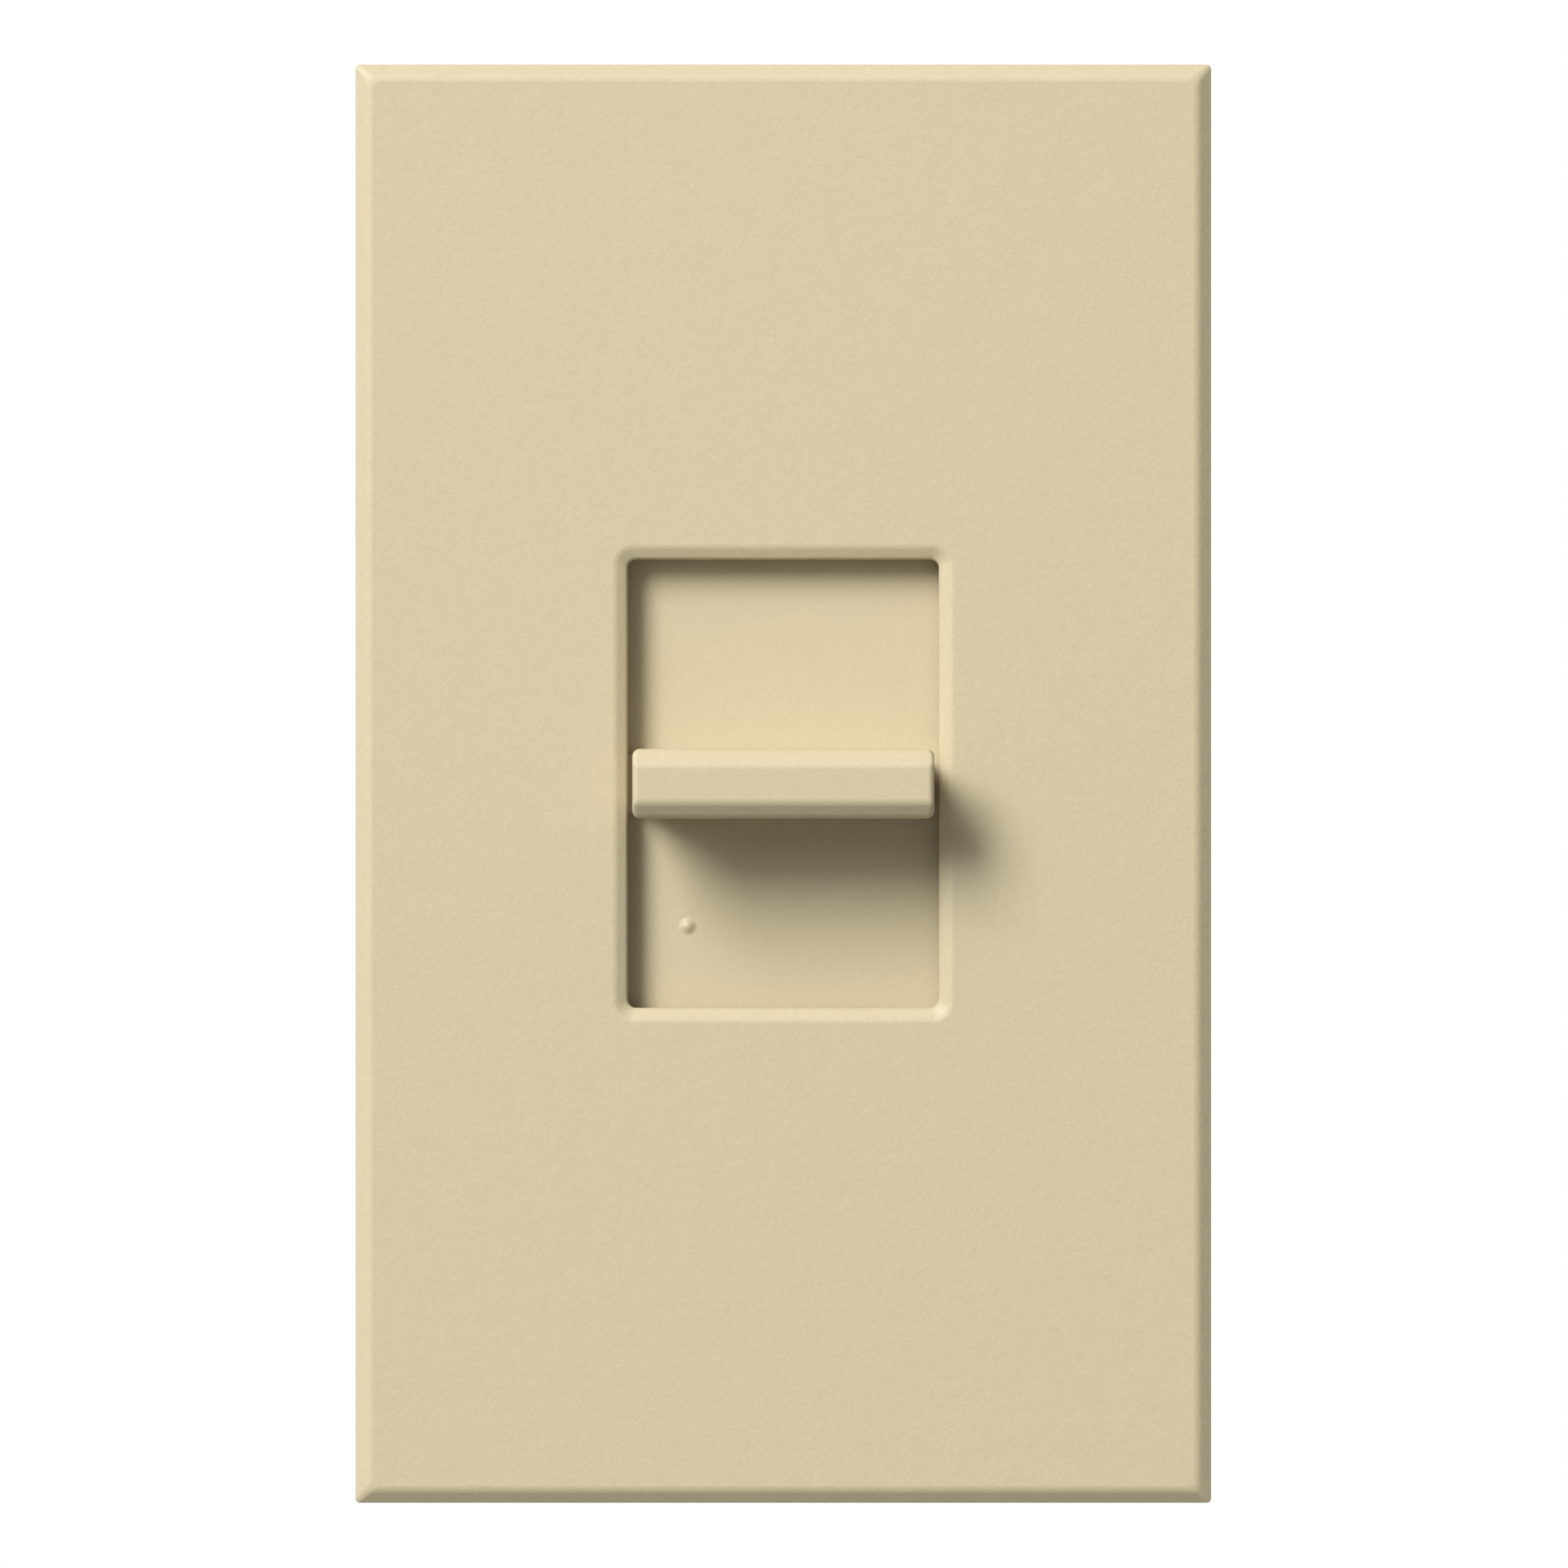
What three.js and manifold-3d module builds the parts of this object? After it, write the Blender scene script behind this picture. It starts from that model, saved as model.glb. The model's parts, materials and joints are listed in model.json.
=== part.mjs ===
// Slide dimmer switch for a single-gang wall box, as a three.js scene graph.
// Millimetres. X is to the right as one faces the switch, +Z is up, and the front faces -Y.
// The origin is the middle of the switch on the wall surface (y = 0): the cover is in front of it,
// the body sinks into the wall box behind it.
import * as THREE from "three";
import { mergeVertices } from "three/addons/utils/BufferGeometryUtils.js";
import Module from "manifold-3d";

// ---- Driving dimensions -------------------------------------------------------------------------

const COVER = { width: 69.85, height: 117.4, frontY: -8.7, backY: -0.3, wall: 2.0, corner: 0.35 };
const RIM = { width: 1.1, depth: 0.8 }; // the sloping rim round the cover's front
const WINDOW = { width: 25.4, height: 36.6, corner: 0.7, flare: 1.0, flareDepth: 0.5, flareCorner: 1.4 };
const FLOOR_DEPTH = 3.25; // from the cover's face to the recess panel
const KNOB = { width: 24.5, height: 5.66, stand: 8.3, corner: 0.6, capDepth: 2.0, skin: 1.6 };
const KNOB_SLOPE = { height: 1.26, depth: 1.06 }; // the slopes above and below the cap's face
const STEM = { width: 23.9, height: 4.4, corner: 0.5, wall: 1.0 }; // the narrower part behind the knob's cap
const DOT = { x: -7.8, z: -11.65, radius: 0.82, rise: 0.3 };
const CARRIAGE = { x: 14.9, z: 2.9, frontY: -3.45, backY: -1.65 };
const TRAVEL = 15.0; // each way from the middle

const SINK = { width: 64.6, height: 112.0, frontY: -2.3, backY: -0.3, corner: 2, windowX: 18, windowZ: 20.9 };
const BOX_SCREW_Z = 41.65; // half of the 83.3 mm between the two screws of a single-gang box
const HOUSING = { x: 22.0, z: 35.0, frontY: -0.15, backY: 27.0, wall: 1.8, corner: 3.0 };
const LABEL = { x: -2.0, width: 22.0, height: 30.0, thick: 0.15, recess: 0.3, corner: 1.0 };
const TOWER = { x: 18.3, z: 31.3, radius: 3.2, hole: 1.6 };
const BOARD = { x: 19.6, z: 32.6, frontY: 10.0, backY: 11.5 };
const TERMINAL_Z = 14.0;

const FLOOR_Y = COVER.frontY + FLOOR_DEPTH;
const COVER_INSIDE_Y = COVER.frontY + COVER.wall;
const WELL_Z = TRAVEL + CARRIAGE.z + 0.4; // half the length of the well the carriage runs in
const GAP = 0.15; // running and assembly clearance
const BITE = 0.5; // how far joined shapes reach into each other
const PAST = 1.0; // how far a cutter reaches past what it cuts

// ---- Booleans and basic shapes ------------------------------------------------------------------

const wasm = await Module();
wasm.setup();

function toSolid(geometry) {
  const bare = geometry.clone();
  bare.deleteAttribute("normal");
  bare.deleteAttribute("uv");
  const merged = mergeVertices(bare, 1e-4);
  return new wasm.Manifold(
    new wasm.Mesh({
      numProp: 3,
      vertProperties: merged.attributes.position.array,
      triVerts: new Uint32Array(merged.index.array),
    }),
  );
}

function toGeometry(solid) {
  const mesh = solid.getMesh();
  return new THREE.BufferGeometry()
    .setAttribute("position", new THREE.BufferAttribute(mesh.vertProperties, 3))
    .setIndex(new THREE.BufferAttribute(mesh.triVerts, 1));
}

const combine = (operation) => (first, ...rest) =>
  toGeometry(rest.reduce((solid, next) => solid[operation](toSolid(next)), toSolid(first)));
const cut = combine("subtract");
const join = combine("add");
const common = combine("intersect");

// A box from its limits along each axis.
function box([x0, x1], [y0, y1], [z0, z1]) {
  const middle = [(x0 + x1) / 2, (y0 + y1) / 2, (z0 + z1) / 2];
  return new THREE.BoxGeometry(x1 - x0, y1 - y0, z1 - z0).translate(...middle);
}

function roundedRect(width, height, radius) {
  const x = width / 2 - radius;
  const y = height / 2 - radius;
  const turn = Math.PI / 2;
  const shape = new THREE.Shape();
  [[x, y], [-x, y], [-x, -y], [x, -y]].forEach(([cx, cy], i) => {
    shape.absarc(cx, cy, radius, i * turn, (i + 1) * turn);
  });
  return shape;
}

function circle(radius) {
  return new THREE.Shape().absarc(0, 0, radius, 0, 2 * Math.PI);
}

function polygon(points) {
  return new THREE.Shape(points.map(([a, b]) => new THREE.Vector2(a, b)));
}

// A shape drawn in front view (x across, z up), from y0 to y1.
function alongY(shape, y0, y1, curveSegments = 2) {
  return new THREE.ExtrudeGeometry(shape, { depth: y1 - y0, bevelEnabled: false, curveSegments })
    .rotateX(Math.PI / 2)
    .translate(0, y1, 0);
}

// A shape drawn in side view (y across, z up), from x0 to x1.
function alongX(shape, x0, x1, curveSegments = 2) {
  return new THREE.ExtrudeGeometry(shape, { depth: x1 - x0, bevelEnabled: false, curveSegments })
    .rotateX(Math.PI / 2)
    .rotateZ(Math.PI / 2)
    .translate(x0, 0, 0);
}

// A shape drawn in plan (x across, y away), from z0 to z1.
function alongZ(shape, z0, z1, curveSegments = 2) {
  return new THREE.ExtrudeGeometry(shape, { depth: z1 - z0, bevelEnabled: false, curveSegments })
    .translate(0, 0, z0);
}

// A solid through rounded rectangles seen from the front, each { y, width, height, corner }, listed from
// back to front.
function loft(rings) {
  const outlines = rings.map(({ width, height, corner }) => roundedRect(width, height, corner).getPoints(8));
  const count = outlines[0].length - 1;
  const points = outlines.flatMap((outline, i) => outline.slice(0, count).map((p) => [p.x, rings[i].y, p.y]));
  const faces = [];
  for (let i = 0; i < rings.length - 1; i += 1) {
    for (let j = 0; j < count; j += 1) {
      const here = i * count + j;
      const next = i * count + ((j + 1) % count);
      faces.push(here, next, here + count, next, next + count, here + count);
    }
  }
  // Each outline is convex, so a fan closes it.
  const front = (rings.length - 1) * count;
  for (let j = 1; j < count - 1; j += 1) {
    faces.push(0, j + 1, j, front, front + j, front + j + 1);
  }
  return new THREE.BufferGeometry()
    .setAttribute("position", new THREE.Float32BufferAttribute(points.flat(), 3))
    .setIndex(faces);
}

function rodY(radius, y0, y1, sides = 16) {
  return new THREE.CylinderGeometry(radius, radius, y1 - y0, sides).translate(0, (y0 + y1) / 2, 0);
}

function rodX(radius, x0, x1, sides = 12) {
  return rodY(radius, x0, x1, sides).rotateZ(-Math.PI / 2);
}

function rodZ(radius, z0, z1, sides = 16) {
  return rodY(radius, z0, z1, sides).rotateX(Math.PI / 2);
}

// A copy of a geometry at each [x, z], for what repeats in front view.
const atEach = (places, make) => places.map(([x, z]) => make().translate(x, 0, z));

// The four corners (x, z), (-x, z), (-x, -z) and (x, -z).
const corners = (x, z) => [[x, z], [-x, z], [-x, -z], [x, -z]];

function material(color, roughness, metalness = 0) {
  return new THREE.MeshStandardMaterial({ color, roughness, metalness });
}

const IVORY = 0xd9cda9;
const BLACK = 0x1d1d1f;
const STEEL = 0xb9bcc0;
const BRASS = 0xc8a24a;

function part(name, geometry, look, place = [0, 0, 0]) {
  const mesh = new THREE.Mesh(geometry, look);
  mesh.name = name;
  mesh.position.set(...place);
  return mesh;
}

function groupOf(place, ...members) {
  const group = new THREE.Group();
  group.position.set(...place);
  return group.add(...members);
}

// ---- Cover --------------------------------------------------------------------------------------

const HOOK = { x: 20, width: 4.2, z: 49.1, thick: 1.4, endY: -2.8, barb: 0.95, lead: 1.1, undercut: 0.2 };
const LANCE = { width: 7, z: 50.6, thick: 1.2, endY: -5.0 };
const CATCH = { half: 2.5, y: [-4.25, -2.85] };
const LIP = { half: 13.2, thick: 1.2, clear: 0.15 };
const RIB = { x: 28, thick: 1.2, half: 24 };
const NOTCH = { half: 4, depth: 1.4 };

// A hook inside the top of the cover: a beam whose wedge-shaped barb faces upwards.
function snapHook(x) {
  const inner = HOOK.z - HOOK.thick / 2;
  const outer = HOOK.z + HOOK.thick / 2;
  const barbY = HOOK.endY - HOOK.lead;
  const side = [
    [COVER_INSIDE_Y - BITE, inner],
    [HOOK.endY, inner],
    [HOOK.endY, outer],
    [barbY, outer + HOOK.barb],
    [barbY - HOOK.undercut, outer],
    [COVER_INSIDE_Y - BITE, outer],
  ];
  return alongX(polygon(side), x - HOOK.width / 2, x + HOOK.width / 2);
}

// What stands at HOOK.x on both sides, near the top and, turned round, near the bottom.
const atHooks = (make) => [-HOOK.x, HOOK.x].flatMap((x) => [make(x), make(x).rotateY(Math.PI)]);

function coverGeometry() {
  const { width, height, frontY, backY, wall, corner } = COVER;
  const slab = loft([
    { y: backY, width, height, corner },
    { y: frontY + RIM.depth, width, height, corner },
    { y: frontY, width: width - 2 * RIM.width, height: height - 2 * RIM.width, corner: corner / 2 },
  ]);
  const inside = alongY(roundedRect(width - 2 * wall, height - 2 * wall, 1), COVER_INSIDE_Y, backY + PAST);
  const window = alongY(roundedRect(WINDOW.width, WINDOW.height, WINDOW.corner), frontY - PAST, 0, 8);
  const flared = { width: WINDOW.width + 2 * WINDOW.flare, height: WINDOW.height + 2 * WINDOW.flare };
  const flare = loft([
    { y: frontY + WINDOW.flareDepth, width: WINDOW.width, height: WINDOW.height, corner: WINDOW.corner },
    { y: frontY, ...flared, corner: WINDOW.flareCorner },
    { y: frontY - PAST, ...flared, corner: WINDOW.flareCorner },
  ]);
  const pryNotch = box(
    [-NOTCH.half, NOTCH.half],
    [backY - NOTCH.depth, backY + PAST],
    [-height / 2 - PAST, -height / 2 + wall + BITE],
  );
  // Lips above and below the window close it down to the recess panel. Its long sides stay clear of the
  // panel, where the knob's shoulders pass.
  const lipEndY = FLOOR_Y - LIP.clear;
  const lipZ = [WINDOW.height / 2 + 0.1, WINDOW.height / 2 + 0.1 + LIP.thick];
  const lip = () => box([-LIP.half, LIP.half], [COVER_INSIDE_Y - BITE, lipEndY], lipZ);
  const ribY = [COVER_INSIDE_Y - BITE, SINK.frontY - GAP];
  const rib = (x) => box([x - RIB.thick / 2, x + RIB.thick / 2], ribY, [-RIB.half, RIB.half]);
  const shell = join(cut(slab, inside, window, flare, pryNotch), lip(), lip().rotateY(Math.PI));
  return join(shell, rib(-RIB.x), rib(RIB.x), ...atHooks(snapHook));
}

// ---- Recess panel, knob and carriage ------------------------------------------------------------

const PANEL = { x: 12.95, z: 20.5, thick: 1.5, corner: 0.8, footX: 11.95, footZ: 18.7 };
const PANEL_BACK_Y = FLOOR_Y + PANEL.thick;
const FRAME_FRONT_Y = -3.6;
const PANEL_PEG = { x: 9, z: 19.6, radius: 0.6, endY: -2.6 };

// A low dot whose sides flow into the panel: half a wave of a cosine, turned about its own axis.
function dotGeometry() {
  const steps = 9;
  const profile = [new THREE.Vector2(0, -DOT.rise)];
  for (let i = 1; i <= steps; i += 1) {
    const high = (1 + Math.cos((Math.PI * i) / steps)) / 2;
    profile.push(new THREE.Vector2((DOT.radius * i) / steps, -DOT.rise * high));
  }
  profile.push(new THREE.Vector2(DOT.radius, BITE), new THREE.Vector2(0, BITE));
  return new THREE.LatheGeometry(profile, 28).translate(DOT.x, FLOOR_Y, DOT.z);
}

function recessPanelGeometry() {
  const { x, z, corner, footX, footZ } = PANEL;
  const plate = alongY(roundedRect(2 * x, 2 * z, corner), FLOOR_Y, PANEL_BACK_Y);
  const foot = () => box([-footX, footX], [PANEL_BACK_Y - BITE, FRAME_FRONT_Y - 0.05], [footZ, z]);
  const pegs = atEach(corners(PANEL_PEG.x, PANEL_PEG.z), () =>
    rodY(PANEL_PEG.radius, PANEL_BACK_Y - BITE, PANEL_PEG.endY, 10),
  );
  return join(plate, foot(), foot().rotateY(Math.PI), ...pegs, dotGeometry());
}

const ARM = { inner: 13.15, outer: 14.65, z: 2.4, shoulderY: -6.3, pegZ: 1.4, pegInset: 0.25, pegEndY: -1.9 };
const KNOB_OVER_FLOOR = 0.2; // how close the shoulders come to the recess panel's face

function knobGeometry() {
  const { width, height, stand, corner, capDepth, skin } = KNOB;
  const frontY = COVER.frontY - stand;
  const backY = frontY + capDepth;
  const baseY = FLOOR_Y - KNOB_OVER_FLOOR;
  const overDotY = baseY - DOT.rise;
  const half = height / 2;
  const side = polygon([
    [frontY, KNOB_SLOPE.height - half],
    [frontY + KNOB_SLOPE.depth, -half],
    [backY, -half],
    [backY, half],
    [frontY + KNOB_SLOPE.depth, half],
    [frontY, half - KNOB_SLOPE.height],
  ]);
  const cap = common(
    alongX(side, -width / 2, width / 2),
    alongY(roundedRect(width, height, corner), frontY - PAST, backY + PAST, 6),
  );
  const stem = alongY(roundedRect(STEM.width, STEM.height, STEM.corner), backY - BITE, overDotY, 4);
  const coreX = STEM.width / 2 - STEM.wall;
  const coreZ = STEM.height / 2 - STEM.wall;
  const core = box([-coreX, coreX], [frontY + skin, overDotY + PAST], [-coreZ, coreZ]);
  const hollow = cut(join(cap, stem), core);
  const pegX = [ARM.inner + ARM.pegInset, ARM.outer - ARM.pegInset];
  const leg = () =>
    join(
      box([STEM.width / 2 - BITE, ARM.outer], [ARM.shoulderY, baseY], [-ARM.z, ARM.z]),
      box([ARM.inner, ARM.outer], [ARM.shoulderY, CARRIAGE.frontY - 0.1], [-ARM.z, ARM.z]),
      box(pegX, [CARRIAGE.frontY - BITE, ARM.pegEndY], [-ARM.pegZ, ARM.pegZ]),
    );
  return join(hollow, leg(), leg().rotateY(Math.PI));
}

const SKIRT = { half: 4, depth: 1.1 };
const CAM = { x: [8.9, 11.3], endY: 0.35, z: [-2.9, -0.6], lead: 0.8 };
const LEVER = { x: 0.6, z: 2.0, endY: -3.0 }; // the slide potentiometer's stem

function carriageGeometry() {
  const { x, z, frontY, backY } = CARRIAGE;
  const bridge = box([-x, x], [frontY, backY], [-z, z]);
  const skirt = box([-SKIRT.half, SKIRT.half], [backY - BITE, backY + SKIRT.depth], [-z, z]);
  const cam = alongX(
    polygon([
      [backY - BITE, CAM.z[0]],
      [CAM.endY, CAM.z[0] + CAM.lead],
      [CAM.endY, CAM.z[1]],
      [backY - BITE, CAM.z[1]],
    ]),
    CAM.x[0],
    CAM.x[1],
  );
  const socketZ = ARM.pegZ + GAP;
  const socket = () => box([ARM.inner, ARM.outer], [frontY - PAST, backY + PAST], [-socketZ, socketZ]);
  const slotX = LEVER.x + GAP;
  const slotZ = LEVER.z + GAP;
  const leverSlot = box([-slotX, slotX], [frontY - PAST, backY + SKIRT.depth + PAST], [-slotZ, slotZ]);
  return cut(join(bridge, skirt, cam), socket(), socket().rotateY(Math.PI), leverSlot);
}

// A bowed leaf: a thin strip whose middle bears on the rail. It stands at the right end of the carriage.
const RAIL_X = 16.2;
const SPRING = { thick: 0.22, half: 2.5, width: 1.2, clear: 0.06 };

function dragSpringGeometry() {
  const { thick, half, width, clear } = SPRING;
  const near = CARRIAGE.x + clear;
  const bow = RAIL_X - clear - thick - near;
  const radius = (half ** 2 + bow ** 2) / (2 * bow);
  const angle = Math.asin(half / radius);
  const centre = near + bow - radius;
  const strip = new THREE.Shape();
  strip.absarc(centre, 0, radius + thick, -angle, angle);
  strip.absarc(centre, 0, radius, angle, -angle, true);
  return new THREE.ExtrudeGeometry(strip, { depth: width, bevelEnabled: false, curveSegments: 6 })
    .rotateX(Math.PI / 2)
    .translate(0, (CARRIAGE.frontY + CARRIAGE.backY + width) / 2, 0);
}

// ---- Slider frame and heat sink plate -----------------------------------------------------------

const STAKE = { x: 15.8, z: 22.6, radius: 0.85, head: 1.3, headHeight: 0.7 };
const FLANGE = { width: 41, height: 48.8, corner: 1.5 };
const LEDGE = { inner: 13.6, endY: 1.2 }; // the ledges that carry the ends of the carriage

function frameGeometry() {
  const outer = { x: SINK.windowX - 0.2, z: SINK.windowZ - 0.3 };
  const body = alongY(roundedRect(2 * outer.x, 2 * outer.z, 1.2), FRAME_FRONT_Y, LEDGE.endY);
  const flangeShape = roundedRect(FLANGE.width, FLANGE.height, FLANGE.corner);
  const flange = alongY(flangeShape, FRAME_FRONT_Y, SINK.frontY - 0.1);
  const well = box([-RAIL_X, RAIL_X], [FRAME_FRONT_Y - PAST, LEDGE.endY + PAST], [-WELL_Z, WELL_Z]);
  const ledge = () =>
    box([LEDGE.inner, RAIL_X + BITE], [CARRIAGE.backY + 0.1, LEDGE.endY], [-WELL_Z - BITE, WELL_Z + BITE]);
  const headY = SINK.backY + 0.1;
  const stakes = atEach(corners(STAKE.x, STAKE.z), () =>
    join(
      rodY(STAKE.radius, SINK.frontY - BITE, headY + BITE, 12),
      rodY(STAKE.head, headY, headY + STAKE.headHeight, 12),
    ),
  );
  const pegHoles = atEach(corners(PANEL_PEG.x, PANEL_PEG.z), () =>
    rodY(PANEL_PEG.radius + GAP, FRAME_FRONT_Y - PAST, PANEL_PEG.endY + 0.3, 10),
  );
  return join(cut(join(body, flange), well, ...pegHoles), ledge(), ledge().rotateY(Math.PI), ...stakes);
}

const GROUND = { x: -15.5, tabZ: [-37.6, -36.4], y: 5.2, half: 4, endY: 9.2, hole: 1.75 };
const TRIAC = { z: 27.8, half: 5, tabX: [-14, -7.6], screwX: -11, screwHole: 1.65 };
const BOX_SLOT = { width: 8.4, height: 4.4, corner: 2.19 };
const PAD = { x: 26.5, z: 50.5, half: 4.5 }; // the raised pads that bear on the wall
const SCORE = { x: [25.2, 28.4], half: 0.5, depth: 0.8 };

// A tab lanced forward out of the plate, with the window that a snap hook's barb springs into.
function lanceGeometry(x) {
  const z = [LANCE.z - LANCE.thick / 2, LANCE.z + LANCE.thick / 2];
  const tab = box([x - LANCE.width / 2, x + LANCE.width / 2], [LANCE.endY, SINK.frontY + BITE], z);
  const catchWindow = box([x - CATCH.half, x + CATCH.half], CATCH.y, [z[0] - PAST, z[1] + PAST]);
  return cut(tab, catchWindow);
}

function sinkGeometry() {
  const { width, height, frontY, backY, corner, windowX, windowZ } = SINK;
  const plate = alongY(roundedRect(width, height, corner), frontY, backY, 8);
  const through = [frontY - PAST, backY + PAST];
  const hole = (radius) => () => rodY(radius, ...through, 12);
  const window = alongY(roundedRect(2 * windowX, 2 * windowZ, 1.4), ...through);
  const slot = () => alongY(roundedRect(BOX_SLOT.width, BOX_SLOT.height, BOX_SLOT.corner), ...through, 4);
  const slots = atEach([[0, BOX_SCREW_Z], [0, -BOX_SCREW_Z]], slot);
  const stakeHoles = atEach(corners(STAKE.x, STAKE.z), hole(STAKE.radius + GAP));
  const towerHoles = atEach(corners(TOWER.x, TOWER.z), hole(TOWER.hole));
  const triacHole = hole(TRIAC.screwHole)().translate(TRIAC.screwX, 0, TRIAC.z);
  // Scored lines along which the sides snap off where switches are ganged.
  const mouthY = frontY - 0.3;
  const score = polygon([[-SCORE.half, mouthY], [SCORE.half, mouthY], [0, frontY + SCORE.depth]]);
  const scores = [...SCORE.x, ...SCORE.x.map((x) => -x)].map((x) =>
    alongZ(score, -height, height).translate(x, 0, 0),
  );
  const pad = () => box([-PAD.half, PAD.half], [backY - BITE, 0], [-PAD.half, PAD.half]);
  const pads = atEach(corners(PAD.x, PAD.z), pad);
  const tab = box([GROUND.x - GROUND.half, GROUND.x + GROUND.half], [backY - BITE, GROUND.endY], GROUND.tabZ);
  const tabEnds = [GROUND.tabZ[0] - PAST, GROUND.tabZ[1] + PAST];
  const tabHole = rodZ(GROUND.hole, ...tabEnds, 24).translate(GROUND.x, GROUND.y, 0);
  const blank = cut(plate, window, ...slots, ...stakeHoles, ...towerHoles, triacHole, ...scores);
  return join(blank, ...pads, cut(tab, tabHole), ...atHooks(lanceGeometry));
}

// ---- Fasteners ----------------------------------------------------------------------------------

// A pan-head screw on the Y axis: the head's underside is at y = 0, its top faces -Y, and the shank runs
// to y = length.
function screwGeometry({ head, headHeight, shank, length, slot = 0.9, sides = 20, cross = false }) {
  const profile = [
    [0, -headHeight],
    [head * 0.72, -headHeight],
    [head * 0.95, -headHeight * 0.6],
    [head, -headHeight * 0.25],
    [head, 0],
    [shank, 0],
    [shank, length - shank * 0.7],
    [shank * 0.45, length],
    [0, length],
  ].map(([r, y]) => new THREE.Vector2(r, y));
  const blank = new THREE.LatheGeometry(profile, sides);
  const slotDepth = headHeight * 0.55;
  const depth = [-headHeight - PAST, slotDepth - headHeight];
  const across = box([-head, head], depth, [-slot / 2, slot / 2]);
  const upright = box([-slot / 2, slot / 2], depth, [-head * 0.6, head * 0.6]);
  return cross ? cut(blank, across, upright) : cut(blank, across);
}

const BOX_SCREW = { head: 3.7, headHeight: 1.9, shank: 1.7, length: 26, slot: 1.0, cross: true };
const HOUSING_SCREW = { head: 2.7, headHeight: 1.9, shank: 1.4, length: 24.4, cross: true, sides: 16 };
const TRIAC_SCREW = { head: 2.8, headHeight: 1.9, shank: 1.45, length: 3.6, cross: true, sides: 16 };
const TERMINAL_SCREW = { head: 3.9, headHeight: 1.8, shank: 1.6, length: 4.2, slot: 1.1 };
const GROUND_SCREW = { head: 3.6, headHeight: 2.2, shank: 1.6, length: 2.0, slot: 1.1 };
const RETAINER = { half: 5, thick: 0.8, hole: 1.85 };

function retainerGeometry() {
  const { half, thick, hole } = RETAINER;
  return cut(box([-half, half], [0, thick], [-half, half]), rodY(hole, -PAST, thick + PAST, 28));
}

// ---- Rear housing -------------------------------------------------------------------------------

const POCKET = { x: 15.4, y: [14.2, 24.2], half: 5.0, wall: 1.4 };
const LEG_SLOT = { width: 1.5, half: 1.7 };
const WIRE_HOLE = { x: 17.75, apart: 2.6, radius: 1.35 };
const BOARD_LEDGE = { x: 18.2, z: [-25, 0, 25], half: 0.9 };
const COUNTERBORE = { radius: 3.0, depth: 2.3 };

function housingGeometry() {
  const { x, z, frontY, backY, wall, corner } = HOUSING;
  const innerBack = backY - wall;
  const outside = alongY(roundedRect(2 * x, 2 * z, corner), frontY, backY, 8);
  const inside = alongY(roundedRect(2 * (x - wall), 2 * (z - wall), corner - wall), frontY - PAST, innerBack);
  const towers = atEach(corners(TOWER.x, TOWER.z), () => rodY(TOWER.radius, frontY, innerBack + BITE, 16));
  const ledges = BOARD_LEDGE.z.flatMap((lz) => {
    const upTo = [BOARD.backY + 0.1, innerBack + BITE];
    const across = [lz - BOARD_LEDGE.half, lz + BOARD_LEDGE.half];
    return [box([BOARD_LEDGE.x, x - BITE], upTo, across), box([BITE - x, -BOARD_LEDGE.x], upTo, across)];
  });
  const places = [TERMINAL_Z, -TERMINAL_Z];
  const around = (pz, half) => [pz - half, pz + half];
  const blocks = places.map((pz) =>
    box(
      [POCKET.x - POCKET.wall, x - BITE],
      [POCKET.y[0] - POCKET.wall, innerBack + BITE],
      around(pz, POCKET.half + POCKET.wall),
    ),
  );
  const pockets = places.map((pz) => box([POCKET.x, x + PAST], POCKET.y, around(pz, POCKET.half)));
  const legSlots = places.map((pz) =>
    box([POCKET.x, POCKET.x + LEG_SLOT.width], [BOARD.backY, POCKET.y[0] + BITE], around(pz, LEG_SLOT.half)),
  );
  const wireHoles = places.flatMap((pz) =>
    around(pz, WIRE_HOLE.apart).map((wz) =>
      rodY(WIRE_HOLE.radius, POCKET.y[1] - BITE, backY + PAST, 24).translate(WIRE_HOLE.x, 0, wz),
    ),
  );
  const screwHoles = atEach(corners(TOWER.x, TOWER.z), () =>
    join(
      rodY(TOWER.hole, frontY - PAST, backY + PAST, 14),
      rodY(COUNTERBORE.radius, backY - COUNTERBORE.depth, backY + PAST, 32),
    ),
  );
  const { width, height, recess, corner: labelCorner } = LABEL;
  const seatShape = roundedRect(width + 1, height + 1, labelCorner + 0.5);
  const seat = alongY(seatShape, backY - recess, backY + PAST, 6).translate(LABEL.x, 0, 0);
  const shell = join(cut(outside, inside), ...towers, ...ledges, ...blocks);
  return cut(shell, ...pockets, ...legSlots, ...wireHoles, ...screwHoles, seat);
}

function labelGeometry() {
  return alongY(roundedRect(LABEL.width, LABEL.height, LABEL.corner), 0, LABEL.thick, 6);
}

// ---- Terminals ----------------------------------------------------------------------------------

const CONTACT = { half: 4.3, thick: 1.0, legHalf: 1.4, tapped: 1.7 };
const SADDLE = { x: 3.25, hole: 1.9, lipZ: 3.9, lipHalf: 0.4, lipDepth: 0.8 };
const POCKET_MIDDLE_Y = (POCKET.y[0] + POCKET.y[1]) / 2;

function terminalPlateGeometry() {
  const { half, thick, legHalf, tapped } = CONTACT;
  const plate = box([0, thick], [POCKET.y[0] + 0.5, POCKET.y[1] - 0.5], [-half, half]);
  const leg = box([0, thick], [BOARD.backY + 0.2, POCKET.y[0] + PAST], [-legHalf, legHalf]);
  return cut(join(plate, leg), rodX(tapped, -PAST, thick + PAST).translate(0, POCKET_MIDDLE_Y, 0));
}

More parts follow.
